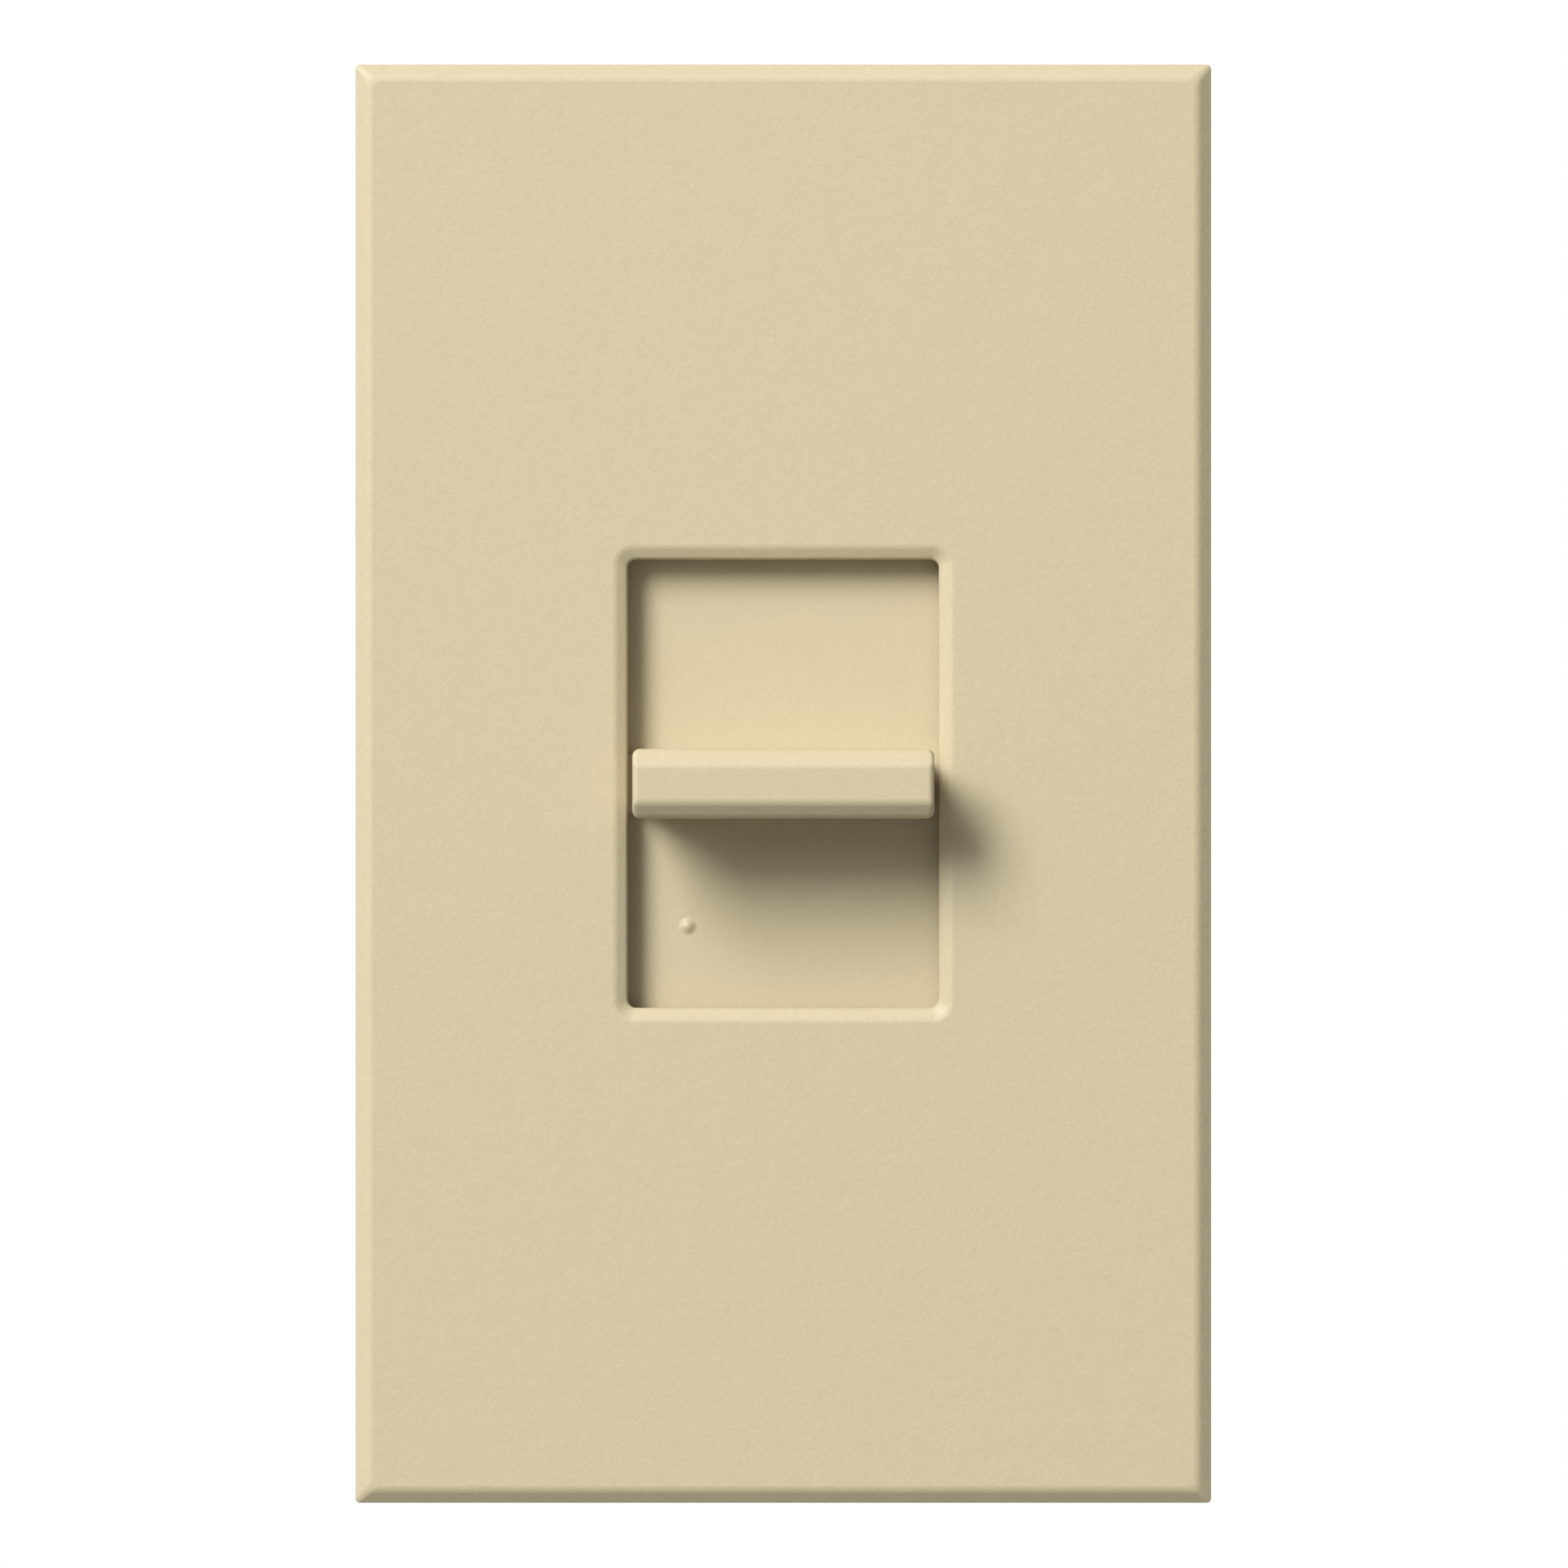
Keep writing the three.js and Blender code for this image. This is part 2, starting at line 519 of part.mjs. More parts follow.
// The saddle that the screw pulls down on the wires: a square washer with two lips.
function terminalClampGeometry() {
  const { half, thick } = CONTACT;
  const { hole, lipZ, lipHalf, lipDepth } = SADDLE;
  const high = [POCKET_MIDDLE_Y - half, POCKET_MIDDLE_Y + half];
  const lip = (z) => box([-lipDepth, BITE], high, [z - lipHalf, z + lipHalf]);
  const plate = join(box([0, thick], high, [-half, half]), lip(-lipZ), lip(lipZ));
  return cut(plate, rodX(hole, -PAST, thick + PAST).translate(0, POCKET_MIDDLE_Y, 0));
}

function terminalParts(name, z) {
  const underHead = SADDLE.x + CONTACT.thick + 0.1;
  const screw = screwGeometry(TERMINAL_SCREW).rotateZ(Math.PI / 2).translate(underHead, POCKET_MIDDLE_Y, 0);
  return groupOf(
    [POCKET.x + 0.2, 0, z],
    part(`terminal_plate_${name}`, terminalPlateGeometry(), material(BRASS, 0.35, 1)),
    part(`terminal_clamp_${name}`, terminalClampGeometry(), material(BRASS, 0.35, 1), [SADDLE.x, 0, 0]),
    part(`terminal_screw_${name}`, screw, material(BRASS, 0.3, 1)),
  );
}

// ---- Slide potentiometer ------------------------------------------------------------------------

// A short flat pin that reaches from the back of a part at backY to the board.
function solderPin(backY) {
  return box([-0.4, 0.4], [backY - 0.4, BOARD.frontY - 0.08], [-0.3, 0.3]);
}

const POT = { x: 4.6, z: 22.4, frontY: 2.2, backY: 9.0, sheet: 0.6, lugHalf: 0.9 };
const TRACK = { thick: 0.9, clear: 0.1, pins: [[-2.4, 20.4], [2.4, 20.4], [0, -20.4]] };
const SHOE = { half: 3.6, y: [3.0, 5.6] };
const WIPER = { half: 2.8, split: 0.8 };

function potCaseGeometry() {
  const { x, z, frontY, backY, sheet } = POT;
  const can = box([-x, x], [frontY, backY], [-z, z]);
  const hollow = box([sheet - x, x - sheet], [frontY + sheet, backY + PAST], [sheet - z, z - sheet]);
  const slotShape = roundedRect(2 * (LEVER.x + 0.5), 2 * (TRAVEL + LEVER.z + 0.7), 1.05);
  const slot = alongY(slotShape, frontY - PAST, frontY + sheet + PAST);
  const lug = () => box([-POT.lugHalf, POT.lugHalf], [backY - BITE, BOARD.frontY - 0.1], [z - sheet, z]);
  return join(cut(can, hollow, slot), lug(), lug().rotateY(Math.PI));
}

function potTrackGeometry() {
  const { x, z, backY, sheet } = POT;
  const halfX = x - sheet - TRACK.clear;
  const halfZ = z - sheet - TRACK.clear;
  const board = box([-halfX, halfX], [backY - TRACK.thick, backY], [-halfZ, halfZ]);
  const pins = atEach(TRACK.pins, () => solderPin(backY));
  return join(board, ...pins);
}

function potLeverGeometry() {
  const shoe = box([-SHOE.half, SHOE.half], SHOE.y, [-SHOE.half, SHOE.half]);
  return join(shoe, box([-LEVER.x, LEVER.x], [LEVER.endY, SHOE.y[0] + BITE], [-LEVER.z, LEVER.z]));
}

// Two sprung fingers on a common root, seen from the side as a flat strip that bends down to the track.
function potWiperGeometry() {
  const strip = polygon([
    [5.75, -3.2],
    [5.95, -3.2],
    [5.95, 0.2],
    [7.95, 3.0],
    [7.85, 3.2],
    [7.7, 3.1],
    [5.75, 0.3],
  ]);
  const split = box([-WIPER.split, WIPER.split], [5, 9], [-1.2, 4]);
  return cut(alongX(strip, -WIPER.half, WIPER.half), split);
}

// ---- Snap switch --------------------------------------------------------------------------------

const SWITCH = { x: 10.1, half: 2.9, y: [3.6, 9.8], z: [-27.2, -14.4], pins: [-25, -20.8, -16.6] };
const EAR = { x: 2.5, half: 0.35, frontY: 1.9, height: 1.7 };
const PIVOT = { y: 2.75, z: -26.4, hole: 0.4, pin: 0.3, curl: 0.75 };
const LEAF = { half: 1.9, thick: 0.3, length: 12.2, bump: 0.7, front: 0.35 };
const PLUNGER = { z: -21.8, radius: 0.8, topY: 2.8, length: 2.4 };
const LEVER_LEAN = THREE.MathUtils.degToRad(6);

function switchBodyGeometry() {
  const { half, y, z } = SWITCH;
  const block = box([-half, half], y, z);
  const ear = (x) => box([x - EAR.half, x + EAR.half], [EAR.frontY, y[0] + BITE], [z[0], z[0] + EAR.height]);
  const pinHole = rodX(PIVOT.hole, -half - PAST, half + PAST, 10).translate(0, PIVOT.y, PIVOT.z);
  const { radius, topY, length } = PLUNGER;
  const bore = rodY(radius + 0.1, topY, topY + length + PAST, 12).translate(0, 0, PLUNGER.z);
  const pins = SWITCH.pins.map((pz) => solderPin(y[1]).translate(0, 0, pz));
  return cut(join(block, ear(-EAR.x), ear(EAR.x), ...pins), pinHole, bore);
}

function switchPlungerGeometry() {
  const { radius, topY, length } = PLUNGER;
  return rodY(radius, topY, topY + length, 12);
}

// The actuator leaf: a strip from a curl around the pin up to a rounded bump, leaning away from the body
// at rest.
function switchLeverGeometry() {
  const { half, thick, length, bump, front } = LEAF;
  const shape = new THREE.Shape();
  shape.moveTo(front, 0);
  shape.lineTo(front, length);
  shape.lineTo(front - thick, length);
  shape.absarc(front - thick, length - 1.2, bump, Math.PI / 2, (3 * Math.PI) / 2);
  shape.lineTo(front - thick, 0);
  const leaf = alongX(shape, -half, half, 3);
  const curl = rodX(PIVOT.curl, -half, half, 14);
  const bore = rodX(PIVOT.hole, -half - PAST, half + PAST, 10);
  return cut(join(leaf, curl), bore).rotateX(LEVER_LEAN).translate(0, PIVOT.y, PIVOT.z);
}

// ---- Circuit board and its parts ----------------------------------------------------------------

function boardGeometry() {
  const { x, z, frontY, backY } = BOARD;
  const notch = () => rodY(TOWER.radius + 0.5, frontY - PAST, backY + PAST, 16);
  const notches = atEach(corners(TOWER.x, TOWER.z), notch);
  return cut(box([-x, x], [frontY, backY], [-z, z]), ...notches);
}

// TO-220 package lying on the plate, with its tab to the left and its leads bent back to the board.
const TAB_Y = [0.3, 1.6];
const TRIAC_BODY = { x: [-7.5, 1.65], y: [TAB_Y[0], 4.7] };
const LEAD = { startX: 1.75, endX: 6.2, y: 2.4, endY: 9.9, thick: 0.5, half: 0.4, pitch: 2.54 };
const SHEET = { x: [-14.4, 2], y: [-0.2, 0.15], half: 5.3 };

function triacTabGeometry() {
  const hole = rodY(TRIAC.screwHole + 0.1, TAB_Y[0] - PAST, TAB_Y[1] + PAST, 14);
  const tab = box(TRIAC.tabX, TAB_Y, [-TRIAC.half, TRIAC.half]);
  return cut(tab, hole.translate(TRIAC.screwX, 0, 0));
}

function triacLeadGeometry() {
  const { startX, endX, y, endY, thick, half } = LEAD;
  const bend = [
    [startX, y],
    [endX, y],
    [endX, endY],
    [endX - thick, endY],
    [endX - thick, y + thick],
    [startX, y + thick],
  ];
  return alongZ(polygon(bend), -half, half);
}

// The thin sheet that insulates the tab from the plate.
function triacPadGeometry() {
  const hole = rodY(TRIAC.screwHole, SHEET.y[0] - PAST, SHEET.y[1] + PAST, 14);
  const sheet = box(SHEET.x, SHEET.y, [-SHEET.half, SHEET.half]);
  return cut(sheet, hole.translate(TRIAC.screwX, 0, 0));
}

const CHOKE = { inner: 5.0, outer: 9.5, half: 3.9, wire: 0.45, turns: 20, gap: 0.3, chamfer: 0.9 };

// A wire wound round the core's rectangular section. The first and last turns leave room between the
// wire's ends.
class Winding extends THREE.Curve {
  getPoint(t) {
    const reach = CHOKE.wire + CHOKE.gap;
    const wide = (CHOKE.outer - CHOKE.inner) / 2 + reach;
    const tall = CHOKE.half + reach;
    const round = 2 * Math.PI * CHOKE.turns * t;
    const corner = 0.42; // the power that squares the loop's corners
    const squared = (v) => Math.sign(v) * Math.abs(v) ** corner;
    const radial = (CHOKE.inner + CHOKE.outer) / 2 + wide * squared(Math.cos(round));
    const around = 2 * Math.PI * (0.04 + 0.92 * t);
    const high = tall * squared(Math.sin(round));
    return new THREE.Vector3(radial * Math.cos(around), high, radial * Math.sin(around));
  }
}

function windingGeometry() {
  return new THREE.ExtrudeGeometry(circle(CHOKE.wire), {
    steps: CHOKE.turns * 12,
    extrudePath: new Winding(),
    curveSegments: 3,
  });
}

function chokeCoreGeometry() {
  const { inner, outer, half, chamfer } = CHOKE;
  const section = [
    [inner + chamfer, -half],
    [outer - chamfer, -half],
    [outer, chamfer - half],
    [outer, half - chamfer],
    [outer - chamfer, half],
    [inner + chamfer, half],
    [inner, half - chamfer],
    [inner, chamfer - half],
    [inner + chamfer, -half],
  ].map(([r, y]) => new THREE.Vector2(r, y));
  return new THREE.LatheGeometry(section, 32);
}

const AXIAL_STAND = 2.1; // from the board to the middle of an axial part

// An axial part: a waisted body along X with two legs bent back towards the board at -Y.
function axialGeometry({ body, half, pitch }) {
  const profile = [
    [0, -half],
    [body * 0.6, -half],
    [body, -half + 0.5],
    [body, -half + 1.5],
    [body * 0.88, -half + 2],
    [body * 0.88, half - 2],
    [body, half - 1.5],
    [body, half - 0.5],
    [body * 0.6, half],
    [0, half],
  ].map(([r, y]) => new THREE.Vector2(r, y));
  const barrel = new THREE.LatheGeometry(profile, 14).rotateZ(-Math.PI / 2);
  const wire = 0.3;
  const run = rodX(wire, -pitch, pitch, 8);
  const leg = (x) => box([x - wire, x + wire], [0.1 - AXIAL_STAND, wire], [-wire, wire]);
  return join(barrel, run, leg(-pitch), leg(pitch));
}

// ---- Assembly -----------------------------------------------------------------------------------

const ivory = () => material(IVORY, 0.62);
const black = () => material(BLACK, 0.5);
const steel = () => material(STEEL, 0.35, 1);

function frontCover() {
  return groupOf(
    [0, 0, 0],
    part("faceplate", coverGeometry(), ivory()),
    part("recess_panel", recessPanelGeometry(), ivory()),
  );
}

function slider() {
  const spring = () => material(0xc58a4a, 0.35, 1);
  return groupOf(
    [0, 0, 0],
    part("slider_knob", knobGeometry(), ivory()),
    part("slider_carriage", carriageGeometry(), black()),
    part("drag_spring_right", dragSpringGeometry(), spring()),
    part("drag_spring_left", dragSpringGeometry().rotateY(Math.PI), spring()),
    part("pot_lever", potLeverGeometry(), black()),
    part("pot_wiper", potWiperGeometry(), spring()),
  );
}

function plateAndHousing() {
  const labelPlace = [LABEL.x, HOUSING.backY - LABEL.recess + 0.05, 0];
  const group = groupOf(
    [0, 0, 0],
    part("heat_sink_plate", sinkGeometry(), material(0xa9acae, 0.45, 1)),
    part("slider_frame", frameGeometry(), black()),
    part("rear_housing", housingGeometry(), black()),
    part("rating_label", labelGeometry(), material(0xc9ccd0, 0.4), labelPlace),
  );
  for (const [name, z] of [["top", BOX_SCREW_Z], ["bottom", -BOX_SCREW_Z]]) {
    group.add(
      part(`mounting_screw_${name}`, screwGeometry(BOX_SCREW), steel(), [0, SINK.frontY - 0.1, z]),
      part(`screw_retainer_${name}`, retainerGeometry(), material(0x8a5a3a, 0.8), [0, SINK.backY + 0.1, z]),
    );
  }
  corners(TOWER.x, TOWER.z).forEach(([x, z], i) => {
    const screw = screwGeometry(HOUSING_SCREW).rotateX(Math.PI);
    const underHead = HOUSING.backY - COUNTERBORE.depth + 0.1;
    group.add(part(`housing_screw_${i + 1}`, screw, steel(), [x, underHead, z]));
  });
  const ground = screwGeometry(GROUND_SCREW);
  group.add(
    part("ground_screw", ground.rotateX(Math.PI / 2), material(0x2f7a3c, 0.4, 1), [
      GROUND.x,
      GROUND.y,
      GROUND.tabZ[0] - 0.1,
    ]),
  );
  return group;
}

function potentiometer() {
  return groupOf(
    [0, 0, 0],
    part("pot_case", potCaseGeometry(), steel()),
    part("pot_track", potTrackGeometry(), material(0x6b3f22, 0.6)),
  );
}

function snapSwitch() {
  return groupOf(
    [SWITCH.x, 0, 0],
    part("switch_body", switchBodyGeometry(), material(0x7a1f1c, 0.5)),
    part("switch_lever", switchLeverGeometry(), steel()),
    part("switch_pin", rodX(PIVOT.pin, -2.8, 2.8, 10), steel(), [0, PIVOT.y, PIVOT.z]),
    part("switch_plunger", switchPlungerGeometry(), material(0xd8d8d8, 0.4), [0, 0, PLUNGER.z]),
  );
}

function triac() {
  const screw = screwGeometry(TRIAC_SCREW).rotateX(Math.PI);
  const body = box(TRIAC_BODY.x, TRIAC_BODY.y, [-TRIAC.half, TRIAC.half]);
  const leads = [-LEAD.pitch, 0, LEAD.pitch].map((z, i) =>
    part(`triac_lead_${i + 1}`, triacLeadGeometry(), material(0xd0d2d4, 0.3, 1), [0, 0, z]),
  );
  return groupOf(
    [0, 0, TRIAC.z],
    part("triac_tab", triacTabGeometry(), material(0xb8794a, 0.35, 1)),
    part("triac_body", body, black()),
    part("triac_screw", screw, steel(), [TRIAC.screwX, TAB_Y[1] + 0.05, 0]),
    part("triac_pad", triacPadGeometry(), material(0xb8b0a0, 0.8)),
    ...leads,
  );
}

const CHOKE_PLACE = [-5.5, 17.0, -14.5];
const FILM_CAPACITOR = { x: -6, z: 6.5, half: 9, depth: 12, thick: 9 };
const TIMING_CAPACITOR = { x: -8, z: 16, half: 5, depth: 8.5, thick: 4.4 };
const RESISTOR = { body: 1.2, half: 3.2, pitch: 5 };
const DIAC = { body: 0.9, half: 2.1, pitch: 4 };

function backOfBoard() {
  const y = BOARD.backY + 0.1;
  const capacitor = (name, { x, z, half, depth, thick }, look) =>
    part(name, box([-half, half], [0, depth], [-thick / 2, thick / 2]), look, [x, y, z]);
  const axial = (name, size, look, x, z) => part(name, axialGeometry(size), look, [x, y + AXIAL_STAND, z]);
  return groupOf(
    [0, 0, 0],
    part("circuit_board", boardGeometry(), material(0x2b5d3a, 0.5)),
    part("choke_core", chokeCoreGeometry(), material(0xc9b24a, 0.7), CHOKE_PLACE),
    part("choke_winding", windingGeometry(), material(0xb06a2c, 0.3, 1), CHOKE_PLACE),
    capacitor("film_capacitor", FILM_CAPACITOR, material(0xd6a92c, 0.5)),
    capacitor("timing_capacitor", TIMING_CAPACITOR, material(0x9c2b22, 0.5)),
    axial("resistor_1", RESISTOR, material(0xc8b48a, 0.6), 0, 24),
    axial("resistor_2", RESISTOR, material(0xc8b48a, 0.6), 0, 28.5),
    axial("diac", DIAC, material(0x3b5ea8, 0.3), 8.5, -27),
  );
}

const dimmer = new THREE.Group();
dimmer.add(
  frontCover(),
  slider(),
  plateAndHousing(),
  potentiometer(),
  snapSwitch(),
  triac(),
  backOfBoard(),
  terminalParts("line", TERMINAL_Z),
  terminalParts("load", -TERMINAL_Z),
);

export default dimmer;
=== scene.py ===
"""Slide dimmer wall switch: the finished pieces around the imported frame, with the studio they stand in."""
import json
import math

import bmesh
import bpy
from mathutils import Matrix, Vector


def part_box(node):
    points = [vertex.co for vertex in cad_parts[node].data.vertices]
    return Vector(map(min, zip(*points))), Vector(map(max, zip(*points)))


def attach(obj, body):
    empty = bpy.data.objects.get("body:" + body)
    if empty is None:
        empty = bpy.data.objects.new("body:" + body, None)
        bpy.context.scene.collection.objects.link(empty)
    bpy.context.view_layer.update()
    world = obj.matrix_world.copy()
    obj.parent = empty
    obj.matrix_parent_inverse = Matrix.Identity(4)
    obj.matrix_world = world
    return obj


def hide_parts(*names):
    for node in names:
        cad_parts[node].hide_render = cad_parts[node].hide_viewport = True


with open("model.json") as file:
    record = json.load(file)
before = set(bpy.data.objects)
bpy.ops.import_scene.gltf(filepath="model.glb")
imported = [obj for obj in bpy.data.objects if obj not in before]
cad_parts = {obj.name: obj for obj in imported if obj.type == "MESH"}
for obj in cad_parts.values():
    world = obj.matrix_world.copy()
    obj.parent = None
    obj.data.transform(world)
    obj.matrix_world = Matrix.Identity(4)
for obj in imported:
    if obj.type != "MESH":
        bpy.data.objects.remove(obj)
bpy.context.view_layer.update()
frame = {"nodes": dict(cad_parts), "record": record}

MM = 0.001
TAU = 2 * math.pi
NODES = frame["nodes"]
BODY_OF = {node: body for body, nodes in frame["record"]["behaviour"]["bodies"].items() for node in nodes}
SLOT_OF = {part["node"]: part["material_slot"] for part in frame["record"]["subparts"]}

# ---- Materials ----------------------------------------------------------------------------------


class Look:
    """A procedural material on one Principled shader. Texture sizes and bump heights are in millimetres."""

    def __init__(self, name, **sockets):
        self.material = bpy.data.materials.new(name)
        self.material.use_nodes = True
        self.tree = self.material.node_tree
        self.tree.nodes.clear()
        self.shader = self.node("ShaderNodeBsdfPrincipled")
        self.surface = self.node("ShaderNodeOutputMaterial").inputs["Surface"]
        self.output(self.shader.outputs[0])
        self.place = self.node("ShaderNodeTexCoord").outputs["Object"]
        for socket, value in sockets.items():
            self.set(socket.replace("_", " "), value)

    def node(self, kind, values=None, **settings):
        made = self.tree.nodes.new(kind)
        for key, value in settings.items():
            setattr(made, key, value)
        for key, value in (values or {}).items():
            self.feed(made.inputs[key], value)
        return made

    def feed(self, socket, value):
        if isinstance(value, bpy.types.NodeSocket):
            self.tree.links.new(value, socket)
        elif socket.type == "RGBA" and len(value) == 3:
            socket.default_value = (*value, 1.0)
        else:
            socket.default_value = value

    def set(self, socket, value):
        self.feed(self.shader.inputs[socket], value)

    def output(self, shader):
        self.tree.links.new(shader, self.surface)

    def stretched(self, stretch):
        """The place, in millimetres, divided by stretch along each axis."""
        scale = tuple(1 / (MM * s) for s in stretch)
        return self.node("ShaderNodeVectorMath", {0: self.place, 1: scale}, operation="MULTIPLY").outputs[0]

    def noise(self, size, detail=2.0, rough=0.5, stretch=(1, 1, 1)):
        values = {"Vector": self.stretched(stretch), "Scale": 1 / size, "Detail": detail, "Roughness": rough}
        return self.node("ShaderNodeTexNoise", values).outputs["Fac"]

    def remap(self, value, old, new):
        values = {0: value, 1: old[0], 2: old[1], 3: new[0], 4: new[1]}
        return self.node("ShaderNodeMapRange", values).outputs[0]

    def math(self, operation, a, b=0.0):
        return self.node("ShaderNodeMath", {0: a, 1: b}, operation=operation).outputs[0]

    def blend(self, *layers):
        """The weighted sum of (value, weight) layers."""
        total = 0.0
        for value, weight in layers:
            values = {0: value, 1: weight, 2: total}
            total = self.node("ShaderNodeMath", values, operation="MULTIPLY_ADD").outputs[0]
        return total

    def mix(self, amount, a, b):
        values = {"Factor": amount, 6: a, 7: b}
        return self.node("ShaderNodeMix", values, data_type="RGBA").outputs[2]

    def across(self, axis):
        """The place along one axis, in millimetres."""
        split = self.node("ShaderNodeSeparateXYZ", {0: self.stretched((1, 1, 1))})
        return split.outputs["XYZ".index(axis)]

    def edges(self, reach):
        """1 on convex edges, 0 on flats: how far the normal turns within reach."""
        rounded = self.node("ShaderNodeBevel", {"Radius": reach * MM}, samples=4).outputs[0]
        flat = self.node("ShaderNodeNewGeometry").outputs["Normal"]
        compare = self.node("ShaderNodeVectorMath", {0: rounded, 1: flat}, operation="DOT_PRODUCT")
        return self.remap(compare.outputs["Value"], (0.995, 0.85), (0.0, 1.0))

    def bumps(self, *layers):
        """Stacks (height field, height in millimetres) layers onto the normal."""
        normal = None
        for field, height in layers:
            values = {"Height": field, "Distance": height * MM, "Strength": 1.0}
            if normal:
                values["Normal"] = normal
            normal = self.node("ShaderNodeBump", values).outputs[0]
        self.set("Normal", normal)
        return self


def shade(colour, factor):
    return tuple(c * factor for c in colour)


def moulded(name, colour, rough, grain=0.16, depth=0.006, mottle=0.03, scuff=0.0):
    """Moulded plastic: a spark-eroded grain, faint flow mottling, and lighter worn edges where scuffed."""
    look = Look(name)
    specks = look.blend(
        (look.noise(2.2, detail=3.0), 0.15),
        (look.noise(0.42), 0.3),
        (look.noise(0.16, detail=1.0), 0.55),
    )
    tone = look.remap(specks, (0.36, 0.64), (0.0, 1.0))
    tinted = look.mix(tone, shade(colour, 1 - mottle), shade(colour, 1 + mottle))
    if scuff:
        lighter = tuple(min(0.9, 0.02 + 1.5 * c) for c in colour)
        tinted = look.mix(look.math("MULTIPLY", look.edges(0.12), scuff), tinted, lighter)
    look.set("Base Color", tinted)
    look.set("Roughness", look.remap(look.noise(0.8, detail=4.0), (0.3, 0.7), (rough - 0.05, rough + 0.05)))
    look.bumps(
        (look.noise(4.5, detail=1.0), 0.010),
        (look.noise(3.2 * grain, detail=2.0), 0.8 * depth),
        (look.noise(grain, detail=3.0, rough=0.6), depth),
    )
    return look


def rolled(name, colour, rough, along="Z", grain=0.09, depth=0.0012, tarnish=0.0, cloud=6.0, soiled=0.18):
    """Rolled or drawn metal: a fine grain along one axis, a few long scratches, and soft staining."""
    look = Look(name, Metallic=1.0)
    stretch = tuple(40 if axis == along else 1 for axis in "XYZ")
    streak = look.noise(grain, detail=3.0, rough=0.7, stretch=stretch)
    broad = look.noise(9 * grain, detail=2.0, stretch=stretch)
    haze = look.noise(cloud, detail=3.0, rough=0.5)
    stained = look.remap(look.blend((broad, 0.6), (haze, 0.4)), (0.35, 0.7), (0.0, 1.0))
    base = look.mix(stained, colour, shade(colour, 1 - soiled - tarnish))
    base = look.mix(look.math("MULTIPLY", look.edges(0.15), 0.5), base, shade(colour, 1.25))
    long_thin = tuple(90 if axis == along else 0.35 for axis in "XYZ")
    scratch = look.remap(look.noise(0.5, detail=1.0, stretch=long_thin), (0.72, 0.76), (0.0, 1.0))
    look.set("Base Color", base)
    polish = look.blend((streak, 0.6), (haze, 0.4))
    look.set("Roughness", look.remap(polish, (0.3, 0.7), (rough - 0.08, rough + 0.1)))
    look.bumps((streak, depth), (look.noise(0.9, detail=4.0), 0.004), (scratch, -0.004))
    return look


IVORY = (0.612, 0.527, 0.341)


def make_looks():
    looks = {
        "ivory_plastic": moulded("ivory_moulding", IVORY, 0.52, grain=0.2, depth=0.019, mottle=0.035),
        "black_nylon": moulded(
            "black_housing_moulding", (0.03, 0.03, 0.032), 0.5, grain=0.26, depth=0.03, mottle=0.22, scuff=0.3
        ),
        "black_acetal": moulded(
            "black_sled_moulding", (0.02, 0.02, 0.022), 0.36, depth=0.003, mottle=0.1, scuff=0.2
        ),
        "spring_bronze": rolled("spring_strip", (0.66, 0.40, 0.20), 0.3, tarnish=0.15),
        "plate_aluminium": rolled(
            "pressed_aluminium", (0.74, 0.75, 0.76), 0.4, depth=0.003, cloud=18.0, soiled=0.10
        ),
        "zinc_steel": rolled("zinc_plate", (0.66, 0.67, 0.69), 0.3, along="Y", tarnish=0.1),
        "red_fibre": moulded(
            "vulcanised_fibre", (0.26, 0.085, 0.035), 0.75, grain=0.12, depth=0.02, mottle=0.25
        ),
        "phenolic_track": moulded("paper_phenolic", (0.21, 0.10, 0.04), 0.5, mottle=0.2),
        "phenolic_switch": moulded("thermoset", (0.20, 0.028, 0.022), 0.42, mottle=0.15),
        "plunger_nylon": moulded("natural_nylon", (0.76, 0.75, 0.70), 0.35, depth=0.002),
        "triac_epoxy": moulded("moulded_epoxy", (0.022, 0.022, 0.023), 0.5, grain=0.1, mottle=0.2),
        "tinned_copper": rolled("tin_plate", (0.72, 0.70, 0.66), 0.28, along="X", tarnish=0.1),
        "pad_silicone": moulded("silicone_sheet", (0.42, 0.40, 0.34), 0.7, mottle=0.08),
        "board_laminate": moulded("solder_resist", (0.02, 0.13, 0.05), 0.28, grain=0.5, mottle=0.12),
        "core_paint": moulded("core_coating", (0.62, 0.47, 0.09), 0.55, grain=0.5, depth=0.03, mottle=0.1),
        "magnet_wire": rolled("enamelled_wire", (0.60, 0.25, 0.09), 0.22, tarnish=0.05),
        "film_case": moulded("film_box", (0.68, 0.42, 0.04), 0.3, depth=0.003, mottle=0.04),
        "dipped_epoxy": moulded(
            "dipped_resin", (0.36, 0.035, 0.02), 0.22, grain=0.8, depth=0.02, mottle=0.08
        ),
        "diac_glass": moulded("glass_bead", (0.05, 0.14, 0.38), 0.12, depth=0.001),
        "terminal_brass": rolled("terminal_brass", (0.78, 0.57, 0.22), 0.3, along="Y", tarnish=0.1),
        "ground_green": rolled("green_zinc", (0.03, 0.30, 0.09), 0.35, along="Y"),
    }
    looks["label_stock"] = label_look()
    looks["resistor_coat"] = resistor_look()
    return {slot: look.material for slot, look in looks.items()}


